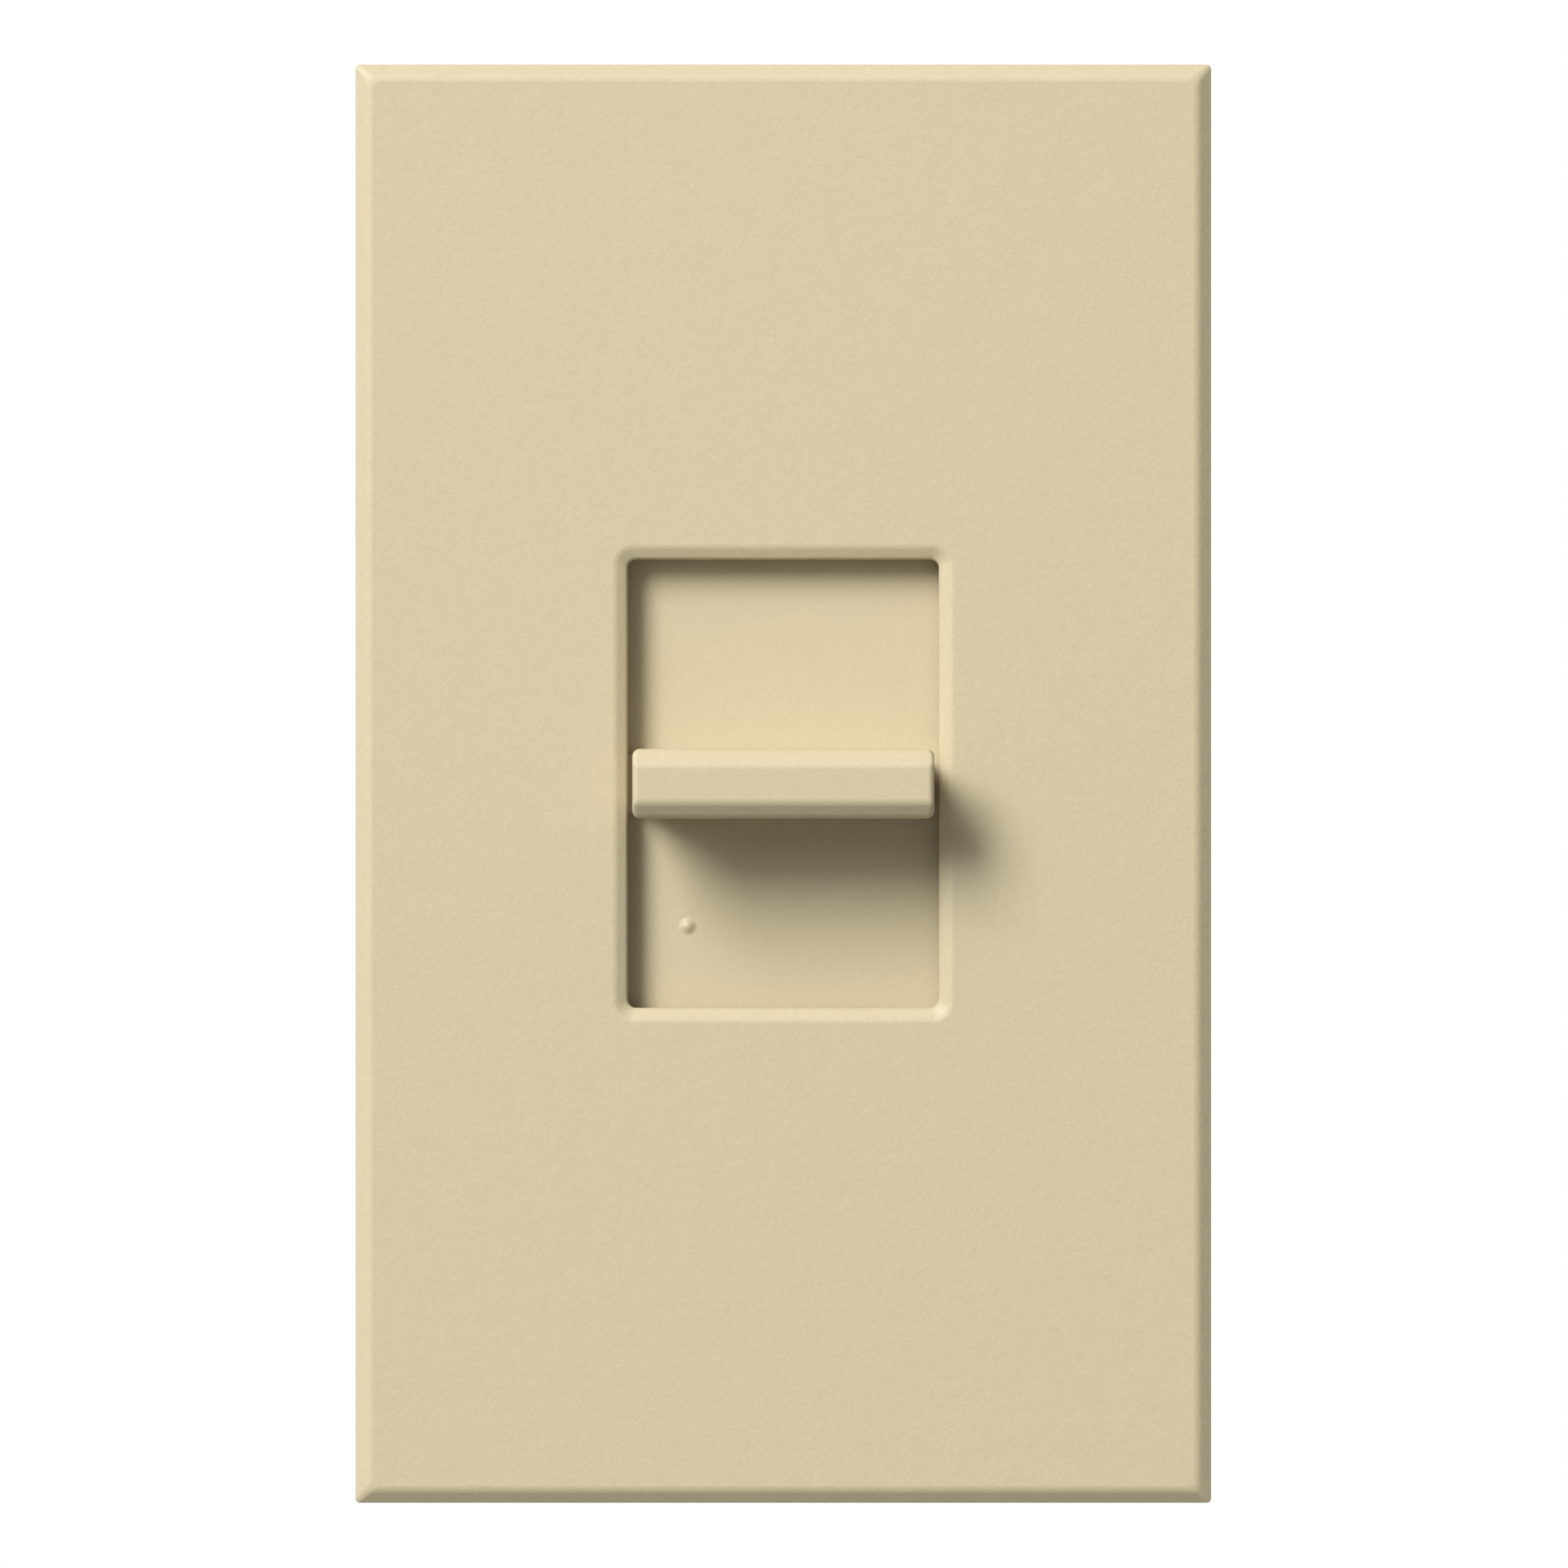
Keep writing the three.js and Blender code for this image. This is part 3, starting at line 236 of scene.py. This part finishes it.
def label_look():
    """Silver label stock with a printed frame and blank ruled boxes."""
    look = Look("blank_label", Metallic=0.6)
    margin, half_line = Vector((1, 0, 1)), 0.12
    lo, hi = (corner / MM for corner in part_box("rating_label"))
    lo, hi = lo + margin, hi - margin
    x, z = look.across("X"), look.across("Z")
    rules = [(x, side, z, lo.z, hi.z) for side in (lo.x, hi.x)]
    rules += [(z, lo.z + part * (hi.z - lo.z), x, lo.x, hi.x) for part in (0.0, 0.28, 0.52, 0.76, 1.0)]
    ink = None
    for value, at, other, low, high in rules:
        near = look.math("LESS_THAN", look.math("ABSOLUTE", look.math("SUBTRACT", value, at)), half_line)
        above, below = look.math("GREATER_THAN", other, low), look.math("LESS_THAN", other, high)
        line = look.math("MULTIPLY", near, look.math("MULTIPLY", above, below))
        ink = line if ink is None else look.math("MAXIMUM", ink, line)
    sheen = look.remap(look.noise(1.5, detail=4.0), (0.3, 0.7), (0.0, 1.0))
    stock = look.mix(sheen, (0.60, 0.61, 0.62), (0.68, 0.69, 0.70))
    look.set("Base Color", look.mix(ink, stock, (0.02, 0.02, 0.02)))
    look.set("Roughness", look.remap(look.noise(0.5, detail=3.0), (0.3, 0.7), (0.3, 0.42)))
    return look.bumps((look.noise(0.4, detail=2.0), 0.003))


def resistor_look():
    """Baked lacquer with four colour bands round the barrel."""
    look = Look("banded_lacquer")
    tone = look.remap(look.noise(0.6, detail=3.0), (0.3, 0.7), (0.0, 1.0))
    colour = look.mix(tone, (0.52, 0.40, 0.23), (0.62, 0.49, 0.30))
    x, half_band = look.across("X"), 0.25
    brown, black = (0.30, 0.12, 0.02), (0.01, 0.01, 0.01)
    orange, gold = (0.55, 0.10, 0.01), (0.50, 0.36, 0.10)
    for at, band in [(-2.2, brown), (-1.1, black), (0.0, orange), (1.9, gold)]:
        near = look.math("LESS_THAN", look.math("ABSOLUTE", look.math("SUBTRACT", x, at)), half_band)
        colour = look.mix(near, colour, band)
    look.set("Base Color", colour)
    look.set("Roughness", look.remap(tone, (0.0, 1.0), (0.25, 0.4)))
    return look.bumps((look.noise(0.3, detail=3.0), 0.006))


# ---- Meshes, in millimetres ---------------------------------------------------------------------

WELD = 0.0005  # points closer together than this are one


def solid_of(node):
    """A CAD node's solid with its facets joined into whole faces."""
    bm = bmesh.new()
    bm.from_mesh(NODES[node].data)
    bmesh.ops.scale(bm, vec=(1 / MM,) * 3, verts=bm.verts)
    bmesh.ops.remove_doubles(bm, verts=bm.verts, dist=WELD)
    bmesh.ops.dissolve_limit(bm, angle_limit=math.radians(0.8), verts=bm.verts, edges=bm.edges)
    return bm


def round_edges(bm, width, steps=2, least_turn=28, where=None):
    """Rounds the edges that turn by more than least_turn degrees, or those of them that where accepts."""
    turn = math.radians(least_turn)
    edges = [e for e in bm.edges if len(e.link_faces) == 2 and e.calc_face_angle() > turn]
    if where:
        edges = [e for e in edges if where(*(v.co for v in e.verts))]
    bmesh.ops.bevel(bm, geom=edges, offset=width, offset_type="OFFSET", segments=steps, profile=0.5,
                    affect="EDGES", clamp_overlap=True)
    bmesh.ops.remove_doubles(bm, verts=bm.verts, dist=WELD)
    return bm


def skin(rings, hoop=False):
    """A surface through rings of equal length: capped at both ends, or closed on itself as a hoop."""
    bm = bmesh.new()
    rows = [[bm.verts.new(point) for point in ring] for ring in rings]
    pairs = list(zip(rows, rows[1:]))
    if hoop:
        pairs.append((rows[-1], rows[0]))
    else:
        bm.faces.new(rows[0])
        bm.faces.new(list(reversed(rows[-1])))
    count = len(rows[0])
    for near, far in pairs:
        for i in range(count):
            j = (i + 1) % count
            bm.faces.new((near[j], near[i], far[i], far[j]))
    return bm


def block(x, y, z):
    """A box from its limits along each axis."""
    floor = [(x[0], y[0]), (x[1], y[0]), (x[1], y[1]), (x[0], y[1])]
    return skin([[(a, b, height) for a, b in floor] for height in z])


def combined(operation, bm, *others):
    """bm with the others added (UNION) or cut away (DIFFERENCE), or what it shares with them (INTERSECT)."""
    made = []
    for shape in (bm, *others):
        bmesh.ops.recalc_face_normals(shape, faces=shape.faces)
        mesh = bpy.data.meshes.new("operand")
        shape.to_mesh(mesh)
        shape.free()
        made.append(bpy.data.objects.new("operand", mesh))
        bpy.context.scene.collection.objects.link(made[-1])
    for other in made[1:]:
        step = made[0].modifiers.new("step", "BOOLEAN")
        step.operation, step.object, step.solver = operation, other, "EXACT"
    result = made[0].evaluated_get(bpy.context.evaluated_depsgraph_get()).to_mesh()
    joined = bmesh.new()
    joined.from_mesh(result)
    for ob in made:
        mesh = ob.data
        bpy.data.objects.remove(ob)
        bpy.data.meshes.remove(mesh)
    bmesh.ops.remove_doubles(joined, verts=joined.verts, dist=WELD)
    return joined


def moved(bm, place=(0, 0, 0), turn=0.0, about="X"):
    """Turns a mesh by so many degrees about an axis, then moves it."""
    matrix = Matrix.Translation(place) @ Matrix.Rotation(math.radians(turn), 4, about)
    bmesh.ops.transform(bm, matrix=matrix, verts=bm.verts)
    return bm


def circle_points(radius, y, sides):
    return [(radius * math.cos(TAU * i / sides), y, radius * math.sin(TAU * i / sides)) for i in range(sides)]


def outline(width, height, corner, y, steps=8):
    """A rounded rectangle seen from the front."""
    points = []
    for quarter, (sx, sz) in enumerate([(1, 1), (-1, 1), (-1, -1), (1, -1)]):
        for i in range(steps + 1):
            a = math.pi / 2 * (quarter + i / steps)
            x = sx * (width / 2 - corner) + corner * math.cos(a)
            z = sz * (height / 2 - corner) + corner * math.sin(a)
            points.append((x, y, z))
    return points


def filleted(points, radius, steps=6):
    """A 2-D line with its inner corners rounded."""
    line = [Vector(points[0])]
    for before, corner, after in zip(points, points[1:], points[2:]):
        corner = Vector(corner)
        a, b = (Vector(before) - corner).normalized(), (Vector(after) - corner).normalized()
        half = a.angle(b) / 2
        start = corner + a * (radius / math.tan(half))
        end = corner + b * (radius / math.tan(half))
        centre = corner + (a + b).normalized() * (radius / math.sin(half))
        for i in range(steps + 1):
            spoke = (start - centre).lerp(end - centre, i / steps)
            line.append(centre + spoke.normalized() * radius)
    return [*line, Vector(points[-1])]


def wire(path, radius, sides=12):
    """A round wire along a line of points, with domed ends."""
    path = [Vector(p) for p in path]
    ahead = [(b - a).normalized() for a, b in zip(path, path[1:])]
    along = [ahead[0], *((a + b).normalized() for a, b in zip(ahead, ahead[1:])), ahead[-1]]
    side = along[0].orthogonal().normalized()
    rings = []

    def ring(at, forward, scale=1.0):
        across = forward.cross(side)
        turns = [TAU * i / sides for i in range(sides)]
        return [at + radius * scale * (side * math.cos(a) + across * math.sin(a)) for a in turns]

    dome = [(0.0, 0.15), (0.1, 0.6), (0.4, 0.9)]  # how far in from an end, and how wide, each in radii
    for index, (at, forward) in enumerate(zip(path, along)):
        side = (side - forward * side.dot(forward)).normalized()
        if index == 0:
            rings += [ring(at + forward * radius * back, forward, wide) for back, wide in dome]
        elif index == len(path) - 1:
            rings += [ring(at - forward * radius * back, forward, wide) for back, wide in reversed(dome)]
        else:
            rings.append(ring(at, forward))
    return skin(rings)


def spread(path, step):
    """The same line with its points an even step apart."""
    path = [Vector(p) for p in path]
    even, left = [path[0]], step
    for a, b in zip(path, path[1:]):
        length = (b - a).length
        while left <= length:
            even.append(a.lerp(b, left / length))
            left += step
        left -= length
    return [*even, path[-1]]


def place(name, bm, node, looks):
    """Turns a mesh in millimetres into the piece that stands for a CAD node."""
    bmesh.ops.scale(bm, vec=(MM,) * 3, verts=bm.verts)
    bmesh.ops.recalc_face_normals(bm, faces=bm.faces)
    mesh = bpy.data.meshes.new(name)
    bm.to_mesh(mesh)
    bm.free()
    mesh.shade_smooth()
    mesh.set_sharp_from_angle(angle=math.radians(38))
    piece = bpy.data.objects.new(name, mesh)
    bpy.context.scene.collection.objects.link(piece)
    mesh.materials.append(looks[SLOT_OF[node]])
    normals = piece.modifiers.new("flat_faces_stay_flat", "WEIGHTED_NORMAL")
    normals.keep_sharp = True
    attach(piece, BODY_OF[node])
    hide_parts(node)


# ---- Screws -------------------------------------------------------------------------------------


def screw(head, height, shank, length, slot, pitch, cross, sides=40, per_turn=8):
    """A pan-head screw on the Y axis with a rolled right-hand thread: underside at 0, head towards -Y."""
    dome = [(0.02, -1), (0.35, -0.99), (0.6, -0.965), (0.76, -0.92), (0.88, -0.78), (0.955, -0.56)]
    skirt = [(1, -0.3), (1, -0.06), (0.98, 0)]
    rings = [circle_points(head * r, height * y, sides) for r, y in dome + skirt]
    rings.append(circle_points(shank, 0, sides))
    depth, tip = 0.36 * pitch, 0.7 * shank
    count = round((length - tip) / pitch * per_turn)
    for i in range(count + 1):
        y = 0.02 + (length - tip - 0.02) * i / count
        run = min(1.0, y / pitch, (length - tip - y) / pitch + 0.4)
        ring = []
        for side in range(sides):
            phase = (y / pitch + side / sides) % 1
            groove = min(1.0, max(0.0, 1.3 * abs(2 * phase - 1) - 0.12))
            radius = shank - depth * run * groove
            angle = TAU * side / sides
            ring.append((radius * math.cos(angle), y, radius * math.sin(angle)))
        rings.append(ring)
    for r, y in [(0.62, 0.5), (0.5, 0.2), (0.42, 0.0)]:
        rings.append(circle_points(shank * r, length - tip * y, sides))
    bm = skin(rings)
    bottom = -0.45 * height
    cutters = [block((-head - 1, head + 1), (-height - 1, bottom), (-slot / 2, slot / 2))]
    if cross:
        reach = 0.6 * head
        cutters.append(block((-slot / 2, slot / 2), (-height - 1, bottom), (-reach, reach)))
    bm = combined("DIFFERENCE", bm, *cutters)
    return round_edges(bm, width=0.07, least_turn=50, where=lambda a, b: max(a.y, b.y) < -0.1)


SCREWS = {
    "box": dict(head=3.7, height=1.9, shank=1.7, length=26.0, slot=1.0, pitch=25.4 / 32, cross=True),
    "housing": dict(head=2.7, height=1.9, shank=1.4, length=24.4, slot=0.9, pitch=1.2, cross=True, sides=24),
    "triac": dict(head=2.8, height=1.9, shank=1.45, length=3.6, slot=0.9, pitch=0.7, cross=True, sides=32),
    "terminal": dict(head=3.9, height=1.8, shank=1.6, length=4.2, slot=1.1, pitch=25.4 / 32, cross=False),
    "ground": dict(head=3.6, height=2.2, shank=1.6, length=2.0, slot=1.1, pitch=25.4 / 32, cross=False),
}


def place_screws(looks):
    placed = [
        ("mounting_screw_top", "box", (0, -2.4, 41.65), 0, "X"),
        ("mounting_screw_bottom", "box", (0, -2.4, -41.65), 0, "X"),
        ("triac_screw", "triac", (-11.0, 1.65, 27.8), 180, "X"),
        ("ground_screw", "ground", (-15.5, 5.2, -37.7), 90, "X"),
        ("terminal_screw_line", "terminal", (19.95, 19.2, 14.0), 90, "Z"),
        ("terminal_screw_load", "terminal", (19.95, 19.2, -14.0), 90, "Z"),
    ]
    for number, (sx, sz) in enumerate([(1, 1), (-1, 1), (-1, -1), (1, -1)], start=1):
        placed.append((f"housing_screw_{number}", "housing", (sx * 18.3, 24.8, sz * 31.3), 180, "X"))
    for node, kind, at, turn, about in placed:
        place(node + "_threaded", moved(screw(**SCREWS[kind]), at, turn, about), node, looks)


# ---- Ivory mouldings ----------------------------------------------------------------------------

KNOB = dict(width=24.5, height=5.66, front=-17.0, slope=1.26, slope_depth=1.06, corner=0.6)
CAP_DEPTH = 2.0
END_ROUND = 0.5
RIDGE_ROUND = 1.1
STEM = dict(width=23.9, height=4.4, corner=0.5, back=-5.95)
CORE = dict(wall=1.0, front=-15.4, overrun=1.0)
LEG = dict(x=(13.15, 14.65), y=(-6.3, -3.55), z=(-2.4, 2.4), shoulder_back=-5.65)
PEG = dict(x=(13.4, 14.4), y=(-3.95, -1.9), z=(-1.4, 1.4))
BITE = 0.5  # how far joined shapes reach into one another


def knob_mesh():
    """The cap with its softened ridges, on a narrower hollow stem with two legs that reach the carriage."""
    width, height, front, slope, slope_depth, corner = KNOB.values()
    back = front + CAP_DEPTH
    line = filleted([(slope + 0.6, 0), (slope, 0), (0, slope_depth), (0, CAP_DEPTH)], RIDGE_ROUND)
    rings = []
    for inset, depth in line[1:-1]:
        reach = 1 - min(max(depth / END_ROUND, 0), 1)
        end = END_ROUND * (1 - math.sqrt(1 - reach ** 2))
        tight = max(corner - inset * 0.3, 0.2)
        rings.append(outline(width - 2 * end, height - 2 * inset, tight, front + depth))
    for inset, above in [(0.0, 0.2), (0.06, 0.06), (0.2, 0.0)]:
        rings.append(outline(width - 2 * inset, height - 2 * inset, corner, back - above))
    stem_width, stem_height, stem_corner, stem_back = STEM.values()
    stem = skin([outline(stem_width, stem_height, stem_corner, y) for y in (back - BITE, stem_back)])
    core_x, core_z = stem_width / 2 - CORE["wall"], stem_height / 2 - CORE["wall"]
    core = block((-core_x, core_x), (CORE["front"], stem_back + CORE["overrun"]), (-core_z, core_z))
    shoulder = dict(x=(stem_width / 2 - BITE, LEG["x"][1]), y=(LEG["y"][0], LEG["shoulder_back"]), z=LEG["z"])
    legs = []
    for side in (-1, 1):
        for shape in (shoulder, LEG, PEG):
            legs.append(block(sorted(side * x for x in shape["x"]), shape["y"], shape["z"]))
    return combined("UNION", combined("DIFFERENCE", combined("UNION", skin(rings), stem), core), *legs)


# ---- Studio -------------------------------------------------------------------------------------

VIEW_WIDTH = 127.9 * MM  # how much the picture takes in at the cover's front
CAMERA_DISTANCE = 1.5
AIM = Vector((0.06, 0.0, -0.03)) * MM
KEY_FROM = (-0.71, -1.0, 0.80)
LIGHTS = {
    "key_softbox": dict(source=KEY_FROM, distance=2.8, wide=1.09, tall=1.61, power=71.0),
    "key_diffuser": dict(source=KEY_FROM, distance=2.8, wide=1.71, tall=2.61, power=35.0),
    "back_softbox": dict(source=(0.6, 0.8, 0.55), distance=2.4, wide=1.4, tall=1.4, power=30.0),
    "back_fill": dict(source=(-0.8, 0.7, 0.2), distance=2.4, wide=1.4, tall=1.4, power=14.0),
}


def area_light(name, source, distance, wide, tall, power):
    """A soft oval light that shines on the origin from where it stands."""
    direction = Vector(source).normalized()
    data = bpy.data.lights.new(name, "AREA")
    data.shape = "ELLIPSE"
    data.size, data.size_y = wide, tall
    data.energy = power
    lamp = bpy.data.objects.new(name, data)
    bpy.context.scene.collection.objects.link(lamp)
    lamp.location = direction * distance
    lamp.rotation_mode = "QUATERNION"
    lamp.rotation_quaternion = direction.to_track_quat("Z", "Y")
    lamp.visible_camera = False


def make_camera():
    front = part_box("faceplate")[0].y
    data = bpy.data.cameras.new("camera")
    camera = bpy.data.objects.new("camera", data)
    bpy.context.scene.collection.objects.link(camera)
    data.sensor_width = 36.0
    data.lens = data.sensor_width * CAMERA_DISTANCE / VIEW_WIDTH
    camera.location = AIM + Vector((0, front - CAMERA_DISTANCE, 0))
    camera.rotation_euler = (math.radians(90), 0, 0)
    data.clip_start = 0.05
    bpy.context.scene.camera = camera


def make_world(front=0.265, side=0.27, up=0.15):
    """A white backdrop that lights the object more softly than it shows, and more from the sides."""
    world = bpy.data.worlds.new("studio")
    bpy.context.scene.world = world
    world.use_nodes = True
    tree = world.node_tree
    tree.nodes.clear()
    output = tree.nodes.new("ShaderNodeOutputWorld")
    seen, lit = tree.nodes.new("ShaderNodeBackground"), tree.nodes.new("ShaderNodeBackground")
    seen.inputs["Strength"].default_value = 1.0
    seen.inputs["Color"].default_value = (1, 1, 1, 1)
    lit.inputs["Color"].default_value = (1, 1, 1, 1)
    direction = tree.nodes.new("ShaderNodeTexCoord").outputs["Generated"]

    def dotted(axis):
        node = tree.nodes.new("ShaderNodeVectorMath")
        node.operation = "DOT_PRODUCT"
        tree.links.new(direction, node.inputs[0])
        node.inputs[1].default_value = axis
        return node.outputs["Value"]

    ahead = tree.nodes.new("ShaderNodeMapRange")
    tree.links.new(dotted((0, -1, 0)), ahead.inputs[0])
    for index, value in enumerate((0.2, 0.8, side, front), start=1):
        ahead.inputs[index].default_value = value
    tilt = tree.nodes.new("ShaderNodeMath")
    tilt.operation = "ADD"
    tree.links.new(dotted((0, 0, up)), tilt.inputs[0])
    tilt.inputs[1].default_value = 1.0
    total = tree.nodes.new("ShaderNodeMath")
    total.operation = "MULTIPLY"
    tree.links.new(ahead.outputs[0], total.inputs[0])
    tree.links.new(tilt.outputs[0], total.inputs[1])
    tree.links.new(total.outputs[0], lit.inputs["Strength"])
    ray = tree.nodes.new("ShaderNodeLightPath")
    choose = tree.nodes.new("ShaderNodeMixShader")
    tree.links.new(ray.outputs["Is Camera Ray"], choose.inputs[0])
    tree.links.new(lit.outputs[0], choose.inputs[1])
    tree.links.new(seen.outputs[0], choose.inputs[2])
    tree.links.new(choose.outputs[0], output.inputs["Surface"])


def make_floor():
    """A pale disc well below the switch."""
    bm = bmesh.new()
    bmesh.ops.create_circle(bm, cap_ends=True, segments=96, radius=2.4)
    bmesh.ops.translate(bm, verts=bm.verts, vec=(0, 0, -0.2))
    mesh = bpy.data.meshes.new("studio_floor")
    bm.to_mesh(mesh)
    bm.free()
    floor = bpy.data.objects.new("studio_floor", mesh)
    bpy.context.scene.collection.objects.link(floor)
    look = Look("pale_floor", Roughness=0.9)
    tone = look.remap(look.noise(60.0, detail=3.0), (0.3, 0.7), (0.0, 1.0))
    look.set("Base Color", look.mix(tone, (0.80, 0.80, 0.79), (0.83, 0.83, 0.82)))
    # Seen from below it is clear, so that it never hides the object.
    below = look.node("ShaderNodeNewGeometry").outputs["Backfacing"]
    clear = look.node("ShaderNodeBsdfTransparent").outputs[0]
    shown = look.node("ShaderNodeMixShader", {0: below, 1: look.shader.outputs[0], 2: clear}).outputs[0]
    look.output(shown)
    mesh.materials.append(look.material)
    # The light round the object stays even: the floor is seen and shaded, but throws no light back.
    floor.visible_diffuse = False
    floor.visible_glossy = False


def make_studio():
    make_camera()
    make_world()
    make_floor()
    for name, light in LIGHTS.items():
        area_light(name, **light)
    bpy.context.scene.view_settings.view_transform = "Standard"


# ---- The object ---------------------------------------------------------------------------------

FLARE = dict(half_width=14, half_height=19.6, back=-8.1)  # a box round the window's flare and nothing else
RIM = dict(width=1.1, depth=0.80, crease=1.25, edge=0.10)
CORNER = dict(radius=0.36, growth=0.25)  # the cover's corners, at its sides and how they widen inwards
HAIR = dict(sides=0.01, front=0.002)  # the shell lies inside the sides, but a little before the flat front


def window_edge(a, b):
    """Both ends of an edge lie on the flare round the window."""
    half_width, half_height, back = FLARE.values()
    return all(abs(p.x) < half_width and abs(p.z) < half_height and p.y < back for p in (a, b))


def rim_shell():
    """A shell a hair inside the cover's rim and sides, with a softer crease, edge and corners."""
    lo, hi = (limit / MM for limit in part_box("faceplate"))
    width, depth, crease, edge = RIM.values()
    slope = filleted([(width + 1, 0), (width, 0), (0, depth)], crease)
    side = filleted([(width / 2, depth / 2), (0, depth), (0, hi.y + 1 - lo.y)], edge)
    rings = []
    for inset, drop in [*slope[:-1], *side[1:]]:
        wide, tall = (across - 2 * (inset + HAIR["sides"]) for across in (hi.x - lo.x, hi.z - lo.z))
        corner = CORNER["radius"] + CORNER["growth"] * inset
        rings.append(outline(wide, tall, corner, lo.y + drop - HAIR["front"]))
    return skin(rings)


def faceplate_mesh():
    bm = round_edges(solid_of("faceplate"), width=0.36, steps=4, least_turn=20, where=window_edge)
    return combined("INTERSECT", bm, rim_shell())


CHOKE = dict(inner=5.0, outer=9.5, half=3.9, radius=0.45, gap=0.3, turns=20)
CHOKE_PLACE = (-5.5, 17.0, -14.5)


def choke_core_mesh():
    """The ring core with its rounded rectangular section."""
    inner, outer, half = (CHOKE[k] for k in ("inner", "outer", "half"))
    radial = [((inner + outer) / 2 + x, z) for x, _, z in outline(outer - inner, 2 * half, 1.0, 0)]
    rings = []
    steps = 96
    for i in range(steps):
        a = TAU * i / steps
        rings.append([(r * math.cos(a), y, r * math.sin(a)) for r, y in radial])
    return moved(skin(rings, hoop=True), CHOKE_PLACE)


def winding_mesh():
    """One wire wound round the core, a turn at a time."""
    inner, outer, half, radius, gap, turns = CHOKE.values()
    wide, tall = (outer - inner) / 2 + radius + gap, half + radius + gap
    steps, boxy = turns * 240, 0.42
    path = []
    for i in range(steps + 1):
        t = i / steps
        loop, around = TAU * turns * t, TAU * (0.04 + 0.92 * t)
        cos, sin = math.cos(loop), math.sin(loop)
        radial = (inner + outer) / 2 + wide * math.copysign(abs(cos) ** boxy, cos)
        high = tall * math.copysign(abs(sin) ** boxy, sin)
        path.append((radial * math.cos(around), high, radial * math.sin(around)))
    return moved(wire(spread(path, step=0.6), radius, sides=10), CHOKE_PLACE)


RESISTOR = dict(body=1.2, half=3.2, pitch=5.0)
DIAC = dict(body=0.9, half=2.1, pitch=4.0)


def axial_mesh(body, half, pitch, at):
    """A waisted barrel along X on one bent wire whose ends reach down to the board."""
    cap = [(0.3, 0.0), (0.62, 0.05), (0.85, 0.2), (0.96, 0.38), (1, 0.6)]
    waist = [(1, 1.3), (0.97, 1.65), (0.9, 2.0)]
    line = [(body * r, y - half) for r, y in cap + waist if y < half]
    line += [(r, -y) for r, y in reversed(line)]
    barrel = moved(skin([circle_points(r, y, 40) for r, y in line]), (0, 0, 0), 90, "Z")
    legs = filleted([(-pitch, -2.0), (-pitch, 0), (pitch, 0), (pitch, -2.0)], radius=0.7)
    lead = wire([(x, y, 0) for x, y in legs], radius=0.3, sides=14)
    return moved(combined("UNION", barrel, lead), at)


# How wide each piece's edges are rounded, in millimetres, and in how many steps.
PLAIN_EDGES = (0.1, 2)
EDGES = {
    "rear_housing": (0.25, 2),
    "heat_sink_plate": (0.12, 2),
    "slider_frame": (0.2, 2),
    "film_capacitor": (0.6, 4),
    "timing_capacitor": (1.5, 6),
    "triac_body": (0.25, 2),
    "switch_body": (0.25, 2),
    "rating_label": (0.03, 1),
    "circuit_board": (0.06, 1),
    "drag_spring_left": (0.04, 1),
    "drag_spring_right": (0.04, 1),
    "pot_wiper": (0.04, 1),
    "triac_pad": (0.05, 1),
}

make_studio()
LOOKS = make_looks()

place("faceplate_moulding", faceplate_mesh(), "faceplate", LOOKS)
place("slider_knob_moulding", knob_mesh(), "slider_knob", LOOKS)
place("choke_core_coated", choke_core_mesh(), "choke_core", LOOKS)
place("choke_winding_wire", winding_mesh(), "choke_winding", LOOKS)
place("resistor_1_banded", axial_mesh(at=(0, 13.7, 24.0), **RESISTOR), "resistor_1", LOOKS)
place("resistor_2_banded", axial_mesh(at=(0, 13.7, 28.5), **RESISTOR), "resistor_2", LOOKS)
place("diac_bead", axial_mesh(at=(8.5, 13.7, -27.0), **DIAC), "diac", LOOKS)
place_screws(LOOKS)

MADE = ("faceplate", "slider_knob", "choke_core", "choke_winding", "resistor_1", "resistor_2", "diac")
for node in NODES:
    if node not in MADE and "_screw" not in node:
        place(node + "_piece", round_edges(solid_of(node), *EDGES.get(node, PLAIN_EDGES)), node, LOOKS)
